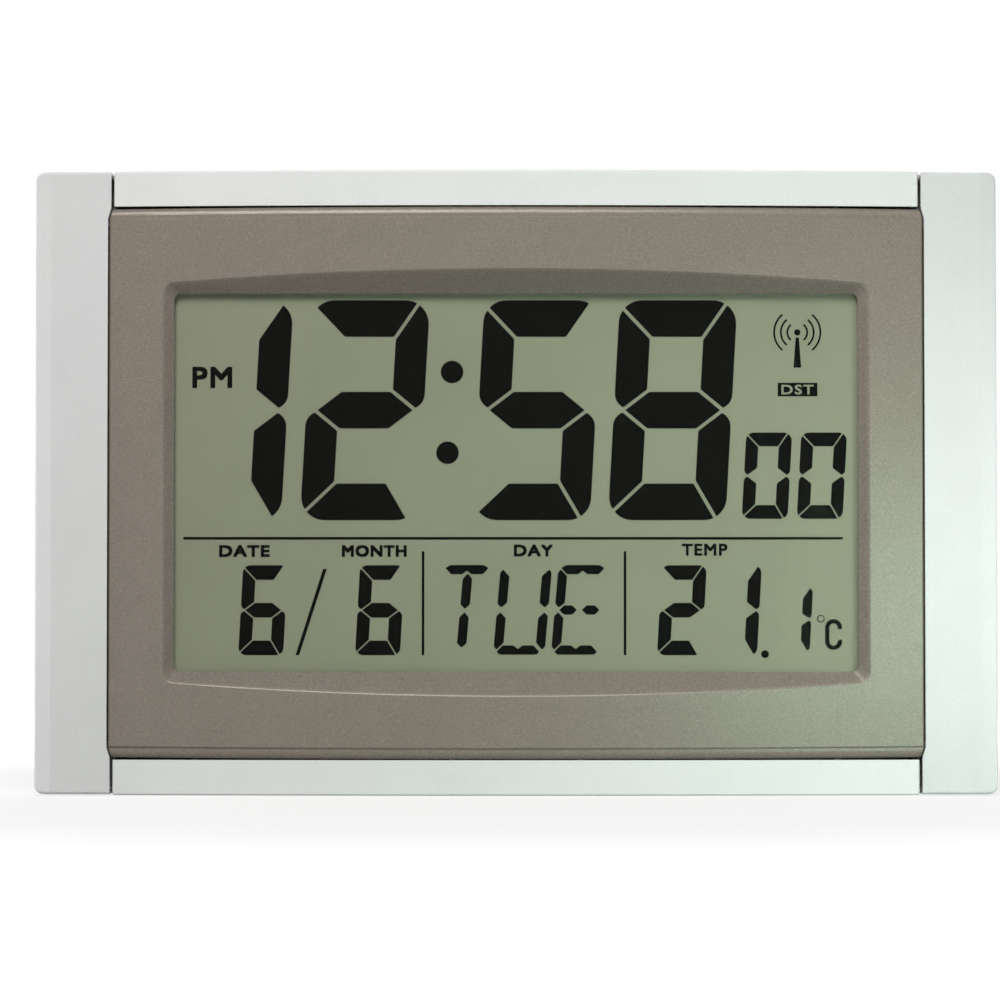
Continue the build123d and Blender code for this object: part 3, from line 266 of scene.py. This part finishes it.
def moulding(name, dark, pale, rough, grain_size, depth, metallic=0.0):
    """A moulded or plated surface: two shades in a fine grain, with the grain in relief."""
    place, surface, material = fresh_finish(name)
    grain = place.noise(grain_size, detail=3.0, rough=0.6)
    cloud = place.noise(grain_size * 30, detail=2.0)
    feed(
        surface,
        Base_Color=(grain * 0.6 + cloud * 0.4).ramp(0.25, 0.75).mix(dark, pale),
        Roughness=rough - 0.06 + grain * 0.12,
        Metallic=metallic,
        Normal=grain.bump(strength=0.3, depth=depth),
    )
    return material


# Finishes of the works
def display_film():
    """Grey-green polariser over the display cell."""
    place, surface, material = fresh_finish("display_film")
    grain = place.noise(0.0004, detail=2.0, rough=0.6)
    cloud = place.noise(0.06, detail=2.0)
    shade = (grain * 0.5 + cloud * 0.5).ramp(0.2, 0.8)
    feed(
        surface,
        Base_Color=shade.mix(srgb(139, 142, 121), srgb(149, 152, 130)),
        Roughness=0.42 + grain * 0.08,
        Specular_IOR_Level=0.15,
    )
    return material


def display_ink():
    """Near-black of the lit bars."""
    place, surface, material = fresh_finish("display_ink")
    grain = place.noise(0.0005, detail=2.0)
    feed(
        surface,
        Base_Color=grain.mix(srgb(12, 12, 11), srgb(18, 18, 16)),
        Roughness=0.5 + grain * 0.1,
        Specular_IOR_Level=0.02,
    )
    return material


def cell_sleeve(cell, button_side):
    """Plain grey sleeve with a pale band and a bare metal rim at each end."""
    band_start, band_end, button_rim, flat_rim = 0.0135, 0.0105, 0.0022, 0.0008
    place, surface, material = fresh_finish(f"{cell}_sleeve")
    low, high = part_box(cell)
    along = place.along("X") * button_side
    button_end = max(low.x * button_side, high.x * button_side)
    flat_end = min(low.x * button_side, high.x * button_side)
    grain = place.noise(0.0008, detail=2.0)
    band = (along > button_end - band_start) * (along < button_end - band_end)
    rim = (along > button_end - button_rim) + (along < flat_end + flat_rim)
    sleeve = band.mix(grain.mix(srgb(58, 62, 66), srgb(70, 74, 78)), srgb(176, 178, 176))
    feed(
        surface,
        Base_Color=rim.mix(sleeve, srgb(190, 189, 184)),
        Metallic=rim,
        Roughness=0.32 + grain * 0.1,
    )
    return material


def circuit_mask():
    """Green solder mask with paler copper runs under it."""
    place, surface, material = fresh_finish("circuit_mask")
    runs = place.node(
        "ShaderNodeTexBrick",
        {"offset": 0.5},
        {
            "Vector": place,
            "Scale": 90.0,
            "Mortar Size": 0.03,
            "Color1": srgb(24, 92, 48),
            "Color2": srgb(28, 100, 54),
            "Mortar": srgb(58, 132, 78),
        },
        "Color",
    )
    grain = place.noise(0.0008, detail=2.0)
    feed(surface, Base_Color=runs, Roughness=0.35 + grain * 0.1)
    return material


# Ways to draw on the flat, with x to the right and y up, before a piece is stood on the display
def alone(piece):
    bpy.ops.object.select_all(action="DESELECT")
    piece.select_set(True)
    bpy.context.view_layer.objects.active = piece


def sheet(width, height, left, foot):
    """A flat sheet, open for editing."""
    bpy.ops.object.select_all(action="DESELECT")
    bpy.ops.mesh.primitive_plane_add(size=1, location=(left + width / 2, foot + height / 2, 0))
    piece = bpy.context.object
    piece.scale = (width, height, 1)
    bpy.ops.object.transform_apply(location=True, rotation=True, scale=True)
    bpy.ops.object.mode_set(mode="EDIT")
    return piece


def disc(x, y, radius, steps):
    """A flat round sheet."""
    bpy.ops.object.select_all(action="DESELECT")
    bpy.ops.mesh.primitive_circle_add(
        vertices=steps, radius=radius, fill_type="NGON", location=(x, y, 0)
    )
    bpy.ops.object.transform_apply(location=True, rotation=True, scale=True)
    return bpy.context.object


def pick(piece, wanted):
    """Selects the vertices of the open piece whose place is wanted, and the faces between them."""
    mesh = bmesh.from_edit_mesh(piece.data)
    bpy.ops.mesh.select_mode(type="VERT")
    bpy.ops.mesh.select_all(action="DESELECT")
    for vertex in mesh.verts:
        vertex.select = wanted(vertex.co)
    mesh.select_flush_mode()
    bmesh.update_edit_mesh(piece.data)


def score(start, end, clear):
    """Cuts the open piece along a line and, if asked, clears what is on the line's right hand."""
    bpy.ops.mesh.select_all(action="SELECT")
    run = (Vector(end) - Vector(start)).normalized()
    bpy.ops.mesh.bisect(
        plane_co=(start[0], start[1], 0),
        plane_no=(run.y, -run.x, 0),
        use_fill=False,
        clear_outer=clear,
        threshold=MERGE_DISTANCE,
    )


def joined(pieces, name):
    """Several sheets as one piece."""
    bpy.ops.object.select_all(action="DESELECT")
    for piece in pieces:
        piece.select_set(True)
    bpy.context.view_layer.objects.active = pieces[0]
    bpy.ops.object.join()
    piece = bpy.context.object
    piece.name = name
    bpy.ops.object.mode_set(mode="EDIT")
    bpy.ops.mesh.select_all(action="SELECT")
    bpy.ops.mesh.remove_doubles(threshold=MERGE_DISTANCE)
    bpy.ops.mesh.normals_make_consistent(inside=False)
    bpy.ops.object.mode_set(mode="OBJECT")
    return piece


def thicken(piece):
    """Gives a flat sheet the thickness of the lit bars."""
    alone(piece)
    wall = piece.modifiers.new("thickness", "SOLIDIFY")
    wall.thickness = INK_THICKNESS
    wall.offset = 1.0
    bpy.ops.object.modifier_apply(modifier=wall.name)


def lay_on_display(piece, ink):
    """Stands a drawn piece up on the front of the display."""
    alone(piece)
    piece.rotation_euler = (math.pi / 2, 0, 0)
    piece.location = (0, INK_BACK, 0)
    bpy.ops.object.transform_apply(location=True, rotation=True, scale=True)
    piece.data.materials.clear()
    piece.data.materials.append(ink)
    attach(piece, "clock")
    return piece


# Printed words
def lettering(name, text, left, foot, width, height, weight):
    """Printed capitals that fill a box, their strokes thickened by a weight."""
    bpy.ops.object.select_all(action="DESELECT")
    bpy.ops.object.text_add()
    piece = bpy.context.object
    piece.name = name
    piece.data.body = text
    piece.data.resolution_u = LETTER_CURVE_STEPS
    piece.data.space_character = LETTER_SPACING
    piece.data.extrude = INK_THICKNESS / 2
    bpy.ops.object.convert(target="MESH")
    piece = bpy.context.object
    xs = [vertex.co.x for vertex in piece.data.vertices]
    ys = [vertex.co.y for vertex in piece.data.vertices]
    fit_x = (width - 2 * weight) / (max(xs) - min(xs))
    fit_y = (height - 2 * weight) / (max(ys) - min(ys))
    piece.scale = (fit_x, fit_y, 1)
    piece.location = (left + weight - min(xs) * fit_x, foot + weight - min(ys) * fit_y, INK_THICKNESS / 2)
    bpy.ops.object.transform_apply(location=True, rotation=True, scale=True)
    bpy.ops.object.mode_set(mode="EDIT")
    bpy.ops.mesh.select_all(action="SELECT")
    bpy.ops.mesh.remove_doubles(threshold=MERGE_DISTANCE)
    bpy.ops.object.mode_set(mode="OBJECT")
    return embolden(piece, weight)


def embolden(piece, weight):
    """Thickens letters: four copies moved apart by the weight and made one."""
    copies = []
    for step_x, step_y in ((-1, -1), (1, -1), (1, 1)):
        alone(piece)
        bpy.ops.object.duplicate()
        bpy.ops.transform.translate(value=(step_x * weight, step_y * weight, 0))
        bpy.ops.object.transform_apply(location=True, rotation=False, scale=False)
        copies.append(bpy.context.object)
    alone(piece)
    bpy.ops.transform.translate(value=(-weight, weight, 0))
    bpy.ops.object.transform_apply(location=True, rotation=False, scale=False)
    for copy in copies:
        merge = piece.modifiers.new("weight", "BOOLEAN")
        merge.operation = "UNION"
        merge.solver = "MANIFOLD"
        merge.object = copy
        bpy.ops.object.modifier_apply(modifier=merge.name)
        bpy.data.objects.remove(copy)
    return piece


def reversed_label(name, text, left, foot, width, height, inset_x, inset_y):
    """A dark tab with the letters cut out of it."""
    tab = sheet(width, height, left, foot)
    bpy.ops.object.mode_set(mode="OBJECT")
    tab.name = name
    thicken(tab)
    letters = lettering(
        name + "_letters",
        text,
        left + inset_x,
        foot + inset_y,
        width - 2 * inset_x,
        height - 2 * inset_y,
        TAB_LETTER_WEIGHT,
    )
    # The letters reach through the tab on both sides
    letters.scale.z = 3
    bpy.ops.object.transform_apply(location=False, rotation=False, scale=True)
    letters.location.z = -INK_THICKNESS
    bpy.ops.object.transform_apply(location=True, rotation=False, scale=False)
    alone(tab)
    cut = tab.modifiers.new("letters", "BOOLEAN")
    cut.operation = "DIFFERENCE"
    cut.solver = "EXACT"
    cut.object = letters
    bpy.ops.object.modifier_apply(modifier=cut.name)
    bpy.data.objects.remove(letters)
    return tab


# Signs
def round_band(name, x, y, radius, stroke, steps, rise=0.0):
    """A round or, with a rise, a tall round-ended band, open for editing."""
    piece = disc(x, y, radius, steps)
    piece.name = name
    bpy.ops.object.mode_set(mode="EDIT")
    if rise:
        just_above_middle = y + radius * 0.01
        pick(piece, lambda place: place.y > just_above_middle)
        bpy.ops.transform.translate(value=(0, rise, 0))
    bpy.ops.mesh.select_all(action="SELECT")
    bpy.ops.mesh.inset(thickness=stroke, use_even_offset=True)
    bpy.ops.mesh.delete(type="FACE")
    return piece


def degree_ring(x, y, radius, stroke):
    """The small ring before the letter of the temperature."""
    piece = round_band("degree_ring", x, y, radius, stroke, steps=28)
    bpy.ops.object.mode_set(mode="OBJECT")
    return piece


def celsius_letter(left, foot, width, height, stroke, arm):
    """A tall round-ended capital, open on its right side."""
    radius = width / 2
    rise = height - width
    piece = round_band("celsius_letter", left + radius, foot + radius, radius, stroke, 32, rise)
    opening = (foot + radius + arm, foot + radius + rise - arm)
    for level in opening:
        score((left, level), (left + width, level), clear=False)
    mesh = bmesh.from_edit_mesh(piece.data)
    bpy.ops.mesh.select_mode(type="FACE")
    bpy.ops.mesh.select_all(action="DESELECT")
    for face in mesh.faces:
        middle = face.calc_center_median()
        face.select = middle.x > left + radius and opening[0] < middle.y < opening[1]
    bmesh.update_edit_mesh(piece.data)
    bpy.ops.mesh.delete(type="FACE")
    bpy.ops.object.mode_set(mode="OBJECT")
    return piece


def side_arc(x, y, radius, stroke, side):
    """One arc of the reception sign, open above and below."""
    piece = round_band("arc", x, y, radius, stroke, steps=48)
    # Both cuts run from the middle to a point this far out
    run, rise = 1.28, 1.54
    across, up = radius * run * side, radius * rise
    middle, high, low = (x, y), (x + across, y + up), (x + across, y - up)
    if side > 0:
        score(high, middle, clear=True)
        score(middle, low, clear=True)
    else:
        score(middle, high, clear=True)
        score(low, middle, clear=True)
    bpy.ops.object.mode_set(mode="OBJECT")
    return piece


def reception_sign(x, y, reach, foot):
    """A plain broadcast sign: a dot on a mast with arcs to both sides, all shares of its reach."""
    dot, stroke, mast_width, mast_taper, mast_gap = 0.13, 0.075, 0.32, 0.42, 0.22
    arc_radii = (0.45, 0.72, 1.0)
    pieces = [disc(x, y, reach * dot, steps=32)]
    mast_top = y - reach * mast_gap
    mast = sheet(reach * mast_width, mast_top - foot, x - reach * mast_width / 2, foot)
    pick(mast, lambda place: place.y > (mast_top + foot) / 2)
    bpy.ops.transform.resize(value=(mast_taper, 1, 1), center_override=(x, mast_top, 0))
    bpy.ops.object.mode_set(mode="OBJECT")
    pieces.append(mast)
    for radius in arc_radii:
        for side in (-1, 1):
            pieces.append(side_arc(x, y, reach * radius, reach * stroke, side))
    return joined(pieces, "reception_sign")


# The weekday, from sizes in steps of its grid
def trimmed_bar(left, start, width, height, lean, cuts):
    """One bar of a letter: a leaning sheet with its corners cut off, clockwise from the upper left."""
    cuts = [(wide * GRID, tall * GRID) for wide, tall in cuts]
    left, start, width, height = (steps * GRID for steps in (left, start, width, height))
    foot = WEEKDAY_FOOT + start
    slant = Vector((lean * height, height))
    piece = sheet(width, height, left, foot)
    pick(piece, lambda place: place.y > foot + height / 2)
    bpy.ops.transform.translate(value=(slant.x, 0, 0))
    left_low, right_low = Vector((left, foot)), Vector((left + width, foot))
    right, up = Vector((1, 0)), slant.normalized()
    corners = [
        (left_low + slant, right, -up),
        (right_low + slant, -right, -up),
        (right_low, -right, up),
        (left_low, right, up),
    ]
    for i, ((corner, inward, upright), (wide, tall)) in enumerate(zip(corners, cuts)):
        if wide:
            across, along = corner + inward * wide, corner + upright * tall
            ends = (along, across) if i % 2 else (across, along)
            score(*ends, clear=True)
    bpy.ops.object.mode_set(mode="OBJECT")
    return piece


def weekday_letters():
    """Three letters built of separate notched bars, leaning to the right."""
    # How thick the stems and the bars across are
    stem, bar = 9.5, 9.2

    # Where each stem or bar starts above the foot, and how long it is
    upper, upper_height = 47.5, 37.2
    lower, lower_height = 5.4, 36.4
    centre_upper, centre_lower, centre_height = 46.1, 7.4, 34.6
    top_bar, middle_bar, foot_bar = 80.4, 40.0, 0.0
    t_width, e_width, foot_width, short_width = 43.1, 43.2, 42.2, 17.4

    # Where each letter starts from the clock's middle, and its stems and bars from there
    t_left, u_left, e_left = -70.6, -23.0, 34.8
    t_stem, u_far_stem, foot_inset = 10.6, 42.0, 3.8
    e_top, e_short, e_far_short = 10.5, 8.6, 31.2

    # Cuts off the corners of a bar, each along its end and along its side
    none, slight, point, notch, blunt = (0, 0), (3.0, 2.6), (5.0, 3.0), (4.6, 3.6), (5.6, 6.2)
    upper_cuts = [(2.2, 3.0), (6.4, 6.4), (5.0, 4.4), (3.4, 3.6)]
    lower_cuts = [(3.2, 3.4), (5.4, 5.4), (6.0, 6.6), (2.6, 3.0)]
    even_cuts = [(4.3, 5.0), (4.3, 5.0), (4.3, 4.2), (4.3, 4.2)]
    short_cuts = [(4.6, 4.5)] * 4

    def mirrored(cuts):
        return [cuts[1], cuts[0], cuts[3], cuts[2]]

    def upright(left, start, height, cuts):
        """A stem that starts this far above the letters' foot."""
        return trimmed_bar(left + WEEKDAY_LEAN * start, start, stem, height, WEEKDAY_LEAN, cuts)

    def level(left, start, width, notch_up):
        """A bar across, in two halves that meet at a notch."""
        half = width / 2
        if notch_up:
            left_cuts, right_cuts = [blunt, notch, none, slight], [notch, blunt, slight, none]
        else:
            left_cuts, right_cuts = [point, none, notch, blunt], [none, point, blunt, notch]
        return [
            trimmed_bar(left, start, half, bar, 0.0, left_cuts),
            trimmed_bar(left + half, start, half, bar, 0.0, right_cuts),
        ]

    pieces = level(t_left, top_bar, t_width, notch_up=False)
    for start in (centre_upper, centre_lower):
        pieces += [upright(t_left + t_stem, start, centre_height, even_cuts)]
    for left in (u_left, e_left):
        pieces += [upright(left, upper, upper_height, upper_cuts)]
        pieces += [upright(left, lower, lower_height, lower_cuts)]
        pieces += level(left + foot_inset, foot_bar, foot_width, notch_up=True)
    pieces += [upright(u_left + u_far_stem, upper, upper_height, mirrored(upper_cuts))]
    pieces += [upright(u_left + u_far_stem, lower, lower_height, mirrored(lower_cuts))]
    pieces += level(e_left + e_top, top_bar, e_width, notch_up=False)
    for inset in (e_short, e_far_short):
        pieces += [trimmed_bar(e_left + inset, middle_bar, short_width, bar, 0.0, short_cuts)]
    return joined(pieces, "weekday_letters")


def dress_display(ink):
    """Words and signs beside the numerals."""
    words = [lettering(name, *box) for name, box in WORDS.items()]
    summer_tab = reversed_label(
        "summer_time_tab", "DST", left=0.1010, foot=0.1534, width=0.0153, height=0.0052,
        inset_x=0.0014, inset_y=0.0007,
    )
    signs = [
        reception_sign(x=0.1086, y=0.1781, reach=0.0093, foot=0.1645),
        weekday_letters(),
        celsius_letter(left=0.1190, foot=0.0556, width=0.0066, height=0.0119, stroke=0.0017, arm=0.0006),
        degree_ring(x=0.1174, y=0.0676, radius=0.0015, stroke=0.0004),
    ]
    for piece in signs:
        thicken(piece)
    for piece in words + [summer_tab] + signs:
        lay_on_display(piece, ink)


# Finishes on the CAD nodes
def wear(material, *names):
    for name in names:
        slots = nodes[name].data.materials
        slots.clear()
        slots.append(material)


def dress_case():
    """Paint, window and mouldings that show from outside."""
    wear(taupe_paint(), "front_bezel")
    rail_silver = silver_paint("rail_silver", srgb(225, 225, 225), srgb(233, 233, 233))
    wear(rail_silver, "top_rail", "bottom_rail")
    cap_silver = silver_paint("cap_silver", srgb(211, 211, 212), srgb(220, 220, 221))
    wear(cap_silver, "left_end_cap", "right_end_cap")
    wear(clear_acrylic(), "display_window")
    rear_moulding = moulding(
        "rear_moulding", srgb(74, 74, 75), srgb(92, 92, 93),
        rough=0.58, grain_size=0.0009, depth=0.0003,
    )
    wear(rear_moulding, "rear_cover", "battery_door", "desk_stand")
    button_moulding = moulding(
        "button_moulding", srgb(140, 140, 139), srgb(156, 156, 154),
        rough=0.45, grain_size=0.0007, depth=0.0002,
    )
    wear(button_moulding, "set_button", "up_button", "down_button", "mode_button")
    zinc_plate = moulding(
        "zinc_plate", srgb(150, 150, 148), srgb(182, 182, 178),
        rough=0.36, grain_size=0.0005, depth=0.0001, metallic=1.0,
    )
    wear(zinc_plate, "rear_screws", "tray_screws", "board_screws", "stand_pin")


def dress_works(ink):
    """The display cell, the boards and what is on them, and the cells with their contacts."""
    wear(display_film(), "lcd_front_glass", "lcd_rear_glass")
    wear(ink, "lcd_time_segments", "lcd_calendar_segments")
    tray_plastic = moulding(
        "tray_plastic", srgb(214, 214, 210), srgb(228, 228, 224),
        rough=0.5, grain_size=0.0008, depth=0.0002,
    )
    wear(tray_plastic, "lcd_tray")
    reflector_foil = moulding(
        "reflector_foil", srgb(150, 156, 136), srgb(176, 180, 162),
        rough=0.4, grain_size=0.0006, depth=0.0001,
    )
    wear(reflector_foil, "lcd_reflector")
    contact_rubber = moulding(
        "contact_rubber", srgb(196, 130, 138), srgb(214, 150, 156),
        rough=0.7, grain_size=0.0006, depth=0.0002,
    )
    wear(contact_rubber, "contact_strip")
    wear(circuit_mask(), "main_board", "receiver_board")
    cast_resin = moulding(
        "cast_resin", srgb(16, 16, 16), srgb(30, 30, 30),
        rough=0.3, grain_size=0.002, depth=0.0002,
    )
    wear(cast_resin, "controller_blob", "receiver_chip", "temperature_sensor")
    switch_plastic = moulding(
        "switch_plastic", srgb(30, 30, 31), srgb(44, 44, 45),
        rough=0.5, grain_size=0.0006, depth=0.0001,
    )
    wear(switch_plastic, "switch_housings", "set_plunger", "up_plunger", "down_plunger", "mode_plunger")
    capacitor_sleeve = moulding(
        "capacitor_sleeve", srgb(28, 34, 74), srgb(42, 48, 92),
        rough=0.35, grain_size=0.0008, depth=0.0001,
    )
    wear(capacitor_sleeve, "capacitors")
    sintered_ferrite = moulding(
        "sintered_ferrite", srgb(52, 52, 54), srgb(72, 72, 74),
        rough=0.6, grain_size=0.0007, depth=0.0003,
    )
    wear(sintered_ferrite, "ferrite_rod")
    copper_winding = moulding(
        "copper_winding", srgb(150, 84, 44), srgb(190, 116, 68),
        rough=0.34, grain_size=0.0005, depth=0.0003, metallic=1.0,
    )
    wear(copper_winding, "antenna_coil")
    red_insulation = moulding(
        "red_insulation", srgb(160, 26, 24), srgb(182, 40, 36),
        rough=0.4, grain_size=0.001, depth=0.0001,
    )
    wear(red_insulation, "red_lead")
    black_insulation = moulding(
        "black_insulation", srgb(22, 22, 23), srgb(36, 36, 37),
        rough=0.42, grain_size=0.001, depth=0.0001,
    )
    wear(black_insulation, "black_lead", "receiver_leads")
    nickel_plate = moulding(
        "nickel_plate", srgb(190, 188, 180), srgb(212, 210, 202),
        rough=0.24, grain_size=0.0006, depth=0.0001, metallic=1.0,
    )
    wear(nickel_plate, "cell_springs", "link_contact", "positive_contact", "negative_contact")
    wear(nickel_plate, "timing_crystal")
    wear(cell_sleeve("upper_cell", 1), "upper_cell")
    wear(cell_sleeve("lower_cell", -1), "lower_cell")


# Camera, floor and light
def camera():
    """A long lens, a little below the clock's middle and turned up by the pitch."""
    bpy.ops.object.camera_add(
        location=VIEW_AIM + Vector((0, -VIEW_REACH, -VIEW_REACH * math.tan(VIEW_PITCH))),
        rotation=(math.pi / 2 + VIEW_PITCH, 0, 0),
    )
    bpy.context.scene.camera = bpy.context.object
    lens = bpy.context.object.data
    lens.sensor_width = SENSOR_WIDTH
    lens.lens = SENSOR_WIDTH * VIEW_REACH / math.cos(VIEW_PITCH) / VIEW_WIDTH


def lamp(name, place, aim, size, power, colour=(1.0, 1.0, 1.0), spread=180):
    """A soft panel of light that faces a point and spreads by this angle."""
    direction = Vector(aim) - Vector(place)
    turn = direction.to_track_quat("-Z", "Y").to_euler()
    bpy.ops.object.light_add(type="AREA", location=place, rotation=turn)
    panel = bpy.context.object
    panel.name = name
    panel.data.shape = "RECTANGLE"
    panel.data.size, panel.data.size_y = size
    panel.data.energy = power
    panel.data.color = colour
    panel.data.spread = math.radians(spread)
    panel.visible_camera = False


def seen_rays(place):
    """One for rays from the camera and for those that gloss or glass sends on."""
    camera_rays = place.node("ShaderNodeLightPath", {}, {}, "Is Camera Ray")
    light_path = camera_rays.socket.node.outputs
    glossy, passed = Wire(light_path["Is Glossy Ray"]), Wire(light_path["Is Transmission Ray"])
    return place.maths("MAXIMUM", camera_rays, place.maths("MAXIMUM", glossy, passed))


def white_floor():
    """A wide white floor that shows as white, with the object's shadow on it."""
    bpy.ops.object.select_all(action="DESELECT")
    bpy.ops.mesh.primitive_plane_add(size=FLOOR_SIZE, location=(0, 0, FLOOR_LEVEL))
    floor = bpy.context.object
    floor.name = "floor"
    place, surface, material = fresh_finish("white_floor")
    feed(surface, Base_Color=grey(FLOOR_BOUNCE), Roughness=0.9, Specular_IOR_Level=0.0)
    away = place.node("ShaderNodeVectorMath", {"operation": "LENGTH"}, {0: place}, "Value")
    white = away.ramp(*FLOOR_FADE).mix(grey(FLOOR_NEAR_GLOW), grey(1.0))
    shade = place.node("ShaderNodeBsdfDiffuse", {}, {"Color": grey(FLOOR_SHADE)})
    glow = place.node("ShaderNodeEmission", {}, {"Color": white, "Strength": 1.0})
    seen = place.node("ShaderNodeAddShader", {}, {0: shade, 1: glow})
    unseen = Wire(surface.outputs[0])
    lit = place.node("ShaderNodeMixShader", {}, {0: seen_rays(place), 1: unseen, 2: seen})
    output = material.node_tree.nodes["Material Output"]
    material.node_tree.links.new(lit.socket, output.inputs["Surface"])
    floor.data.materials.append(material)


def pale_room():
    """An even pale room that shows as white."""
    world = bpy.data.worlds.new("pale_room")
    bpy.context.scene.world = world
    world.use_nodes = True
    room = world.node_tree.nodes["Background"]
    room.inputs["Color"].default_value = grey(1.0)
    level = seen_rays(Wire(room.outputs[0])) * (1.0 - ROOM_LIGHT) + ROOM_LIGHT
    world.node_tree.links.new(level.socket, room.inputs["Strength"])


def lamps():
    """A high main panel, two faint ones on the right, and light along the edges and from behind."""
    lamp(
        "overhead_panel", place=(-0.2, -1.1, 1.15), aim=(0, 0, 0.12), size=(0.7, 0.8), power=20.0,
        colour=(1.0, 0.985, 0.97),
    )
    lamp(
        "right_panel", place=(0.3, -0.6, 0.06), aim=(0.14, 0, 0.06), size=(0.3, 0.14), power=0.135,
        colour=(0.5, 1.0, 0.7), spread=60,
    )
    lamp(
        "low_panel", place=(0.42, -0.4, 0.05), aim=(0.17, 0, 0.08), size=(0.16, 0.12), power=0.06,
        colour=(1.0, 0.96, 0.98), spread=45,
    )
    lamp(
        "left_edge_panel", place=(-0.45, -0.02, 0.08), aim=(-0.185, -0.01, 0.09), size=(0.04, 0.2),
        power=0.42,
    )
    lamp(
        "right_edge_panel", place=(0.45, -0.02, 0.1), aim=(0.185, -0.01, 0.1), size=(0.04, 0.2),
        power=0.2, colour=(0.9, 1.0, 0.93),
    )
    lamp("rear_panel", place=(0.1, 1.1, 0.5), aim=(0, 0, 0.1), size=(0.9, 0.4), power=8.5)


ink = display_ink()
dress_case()
dress_works(ink)
dress_display(ink)
bpy.context.scene.view_settings.view_transform = "Standard"
camera()
white_floor()
pale_room()
lamps()
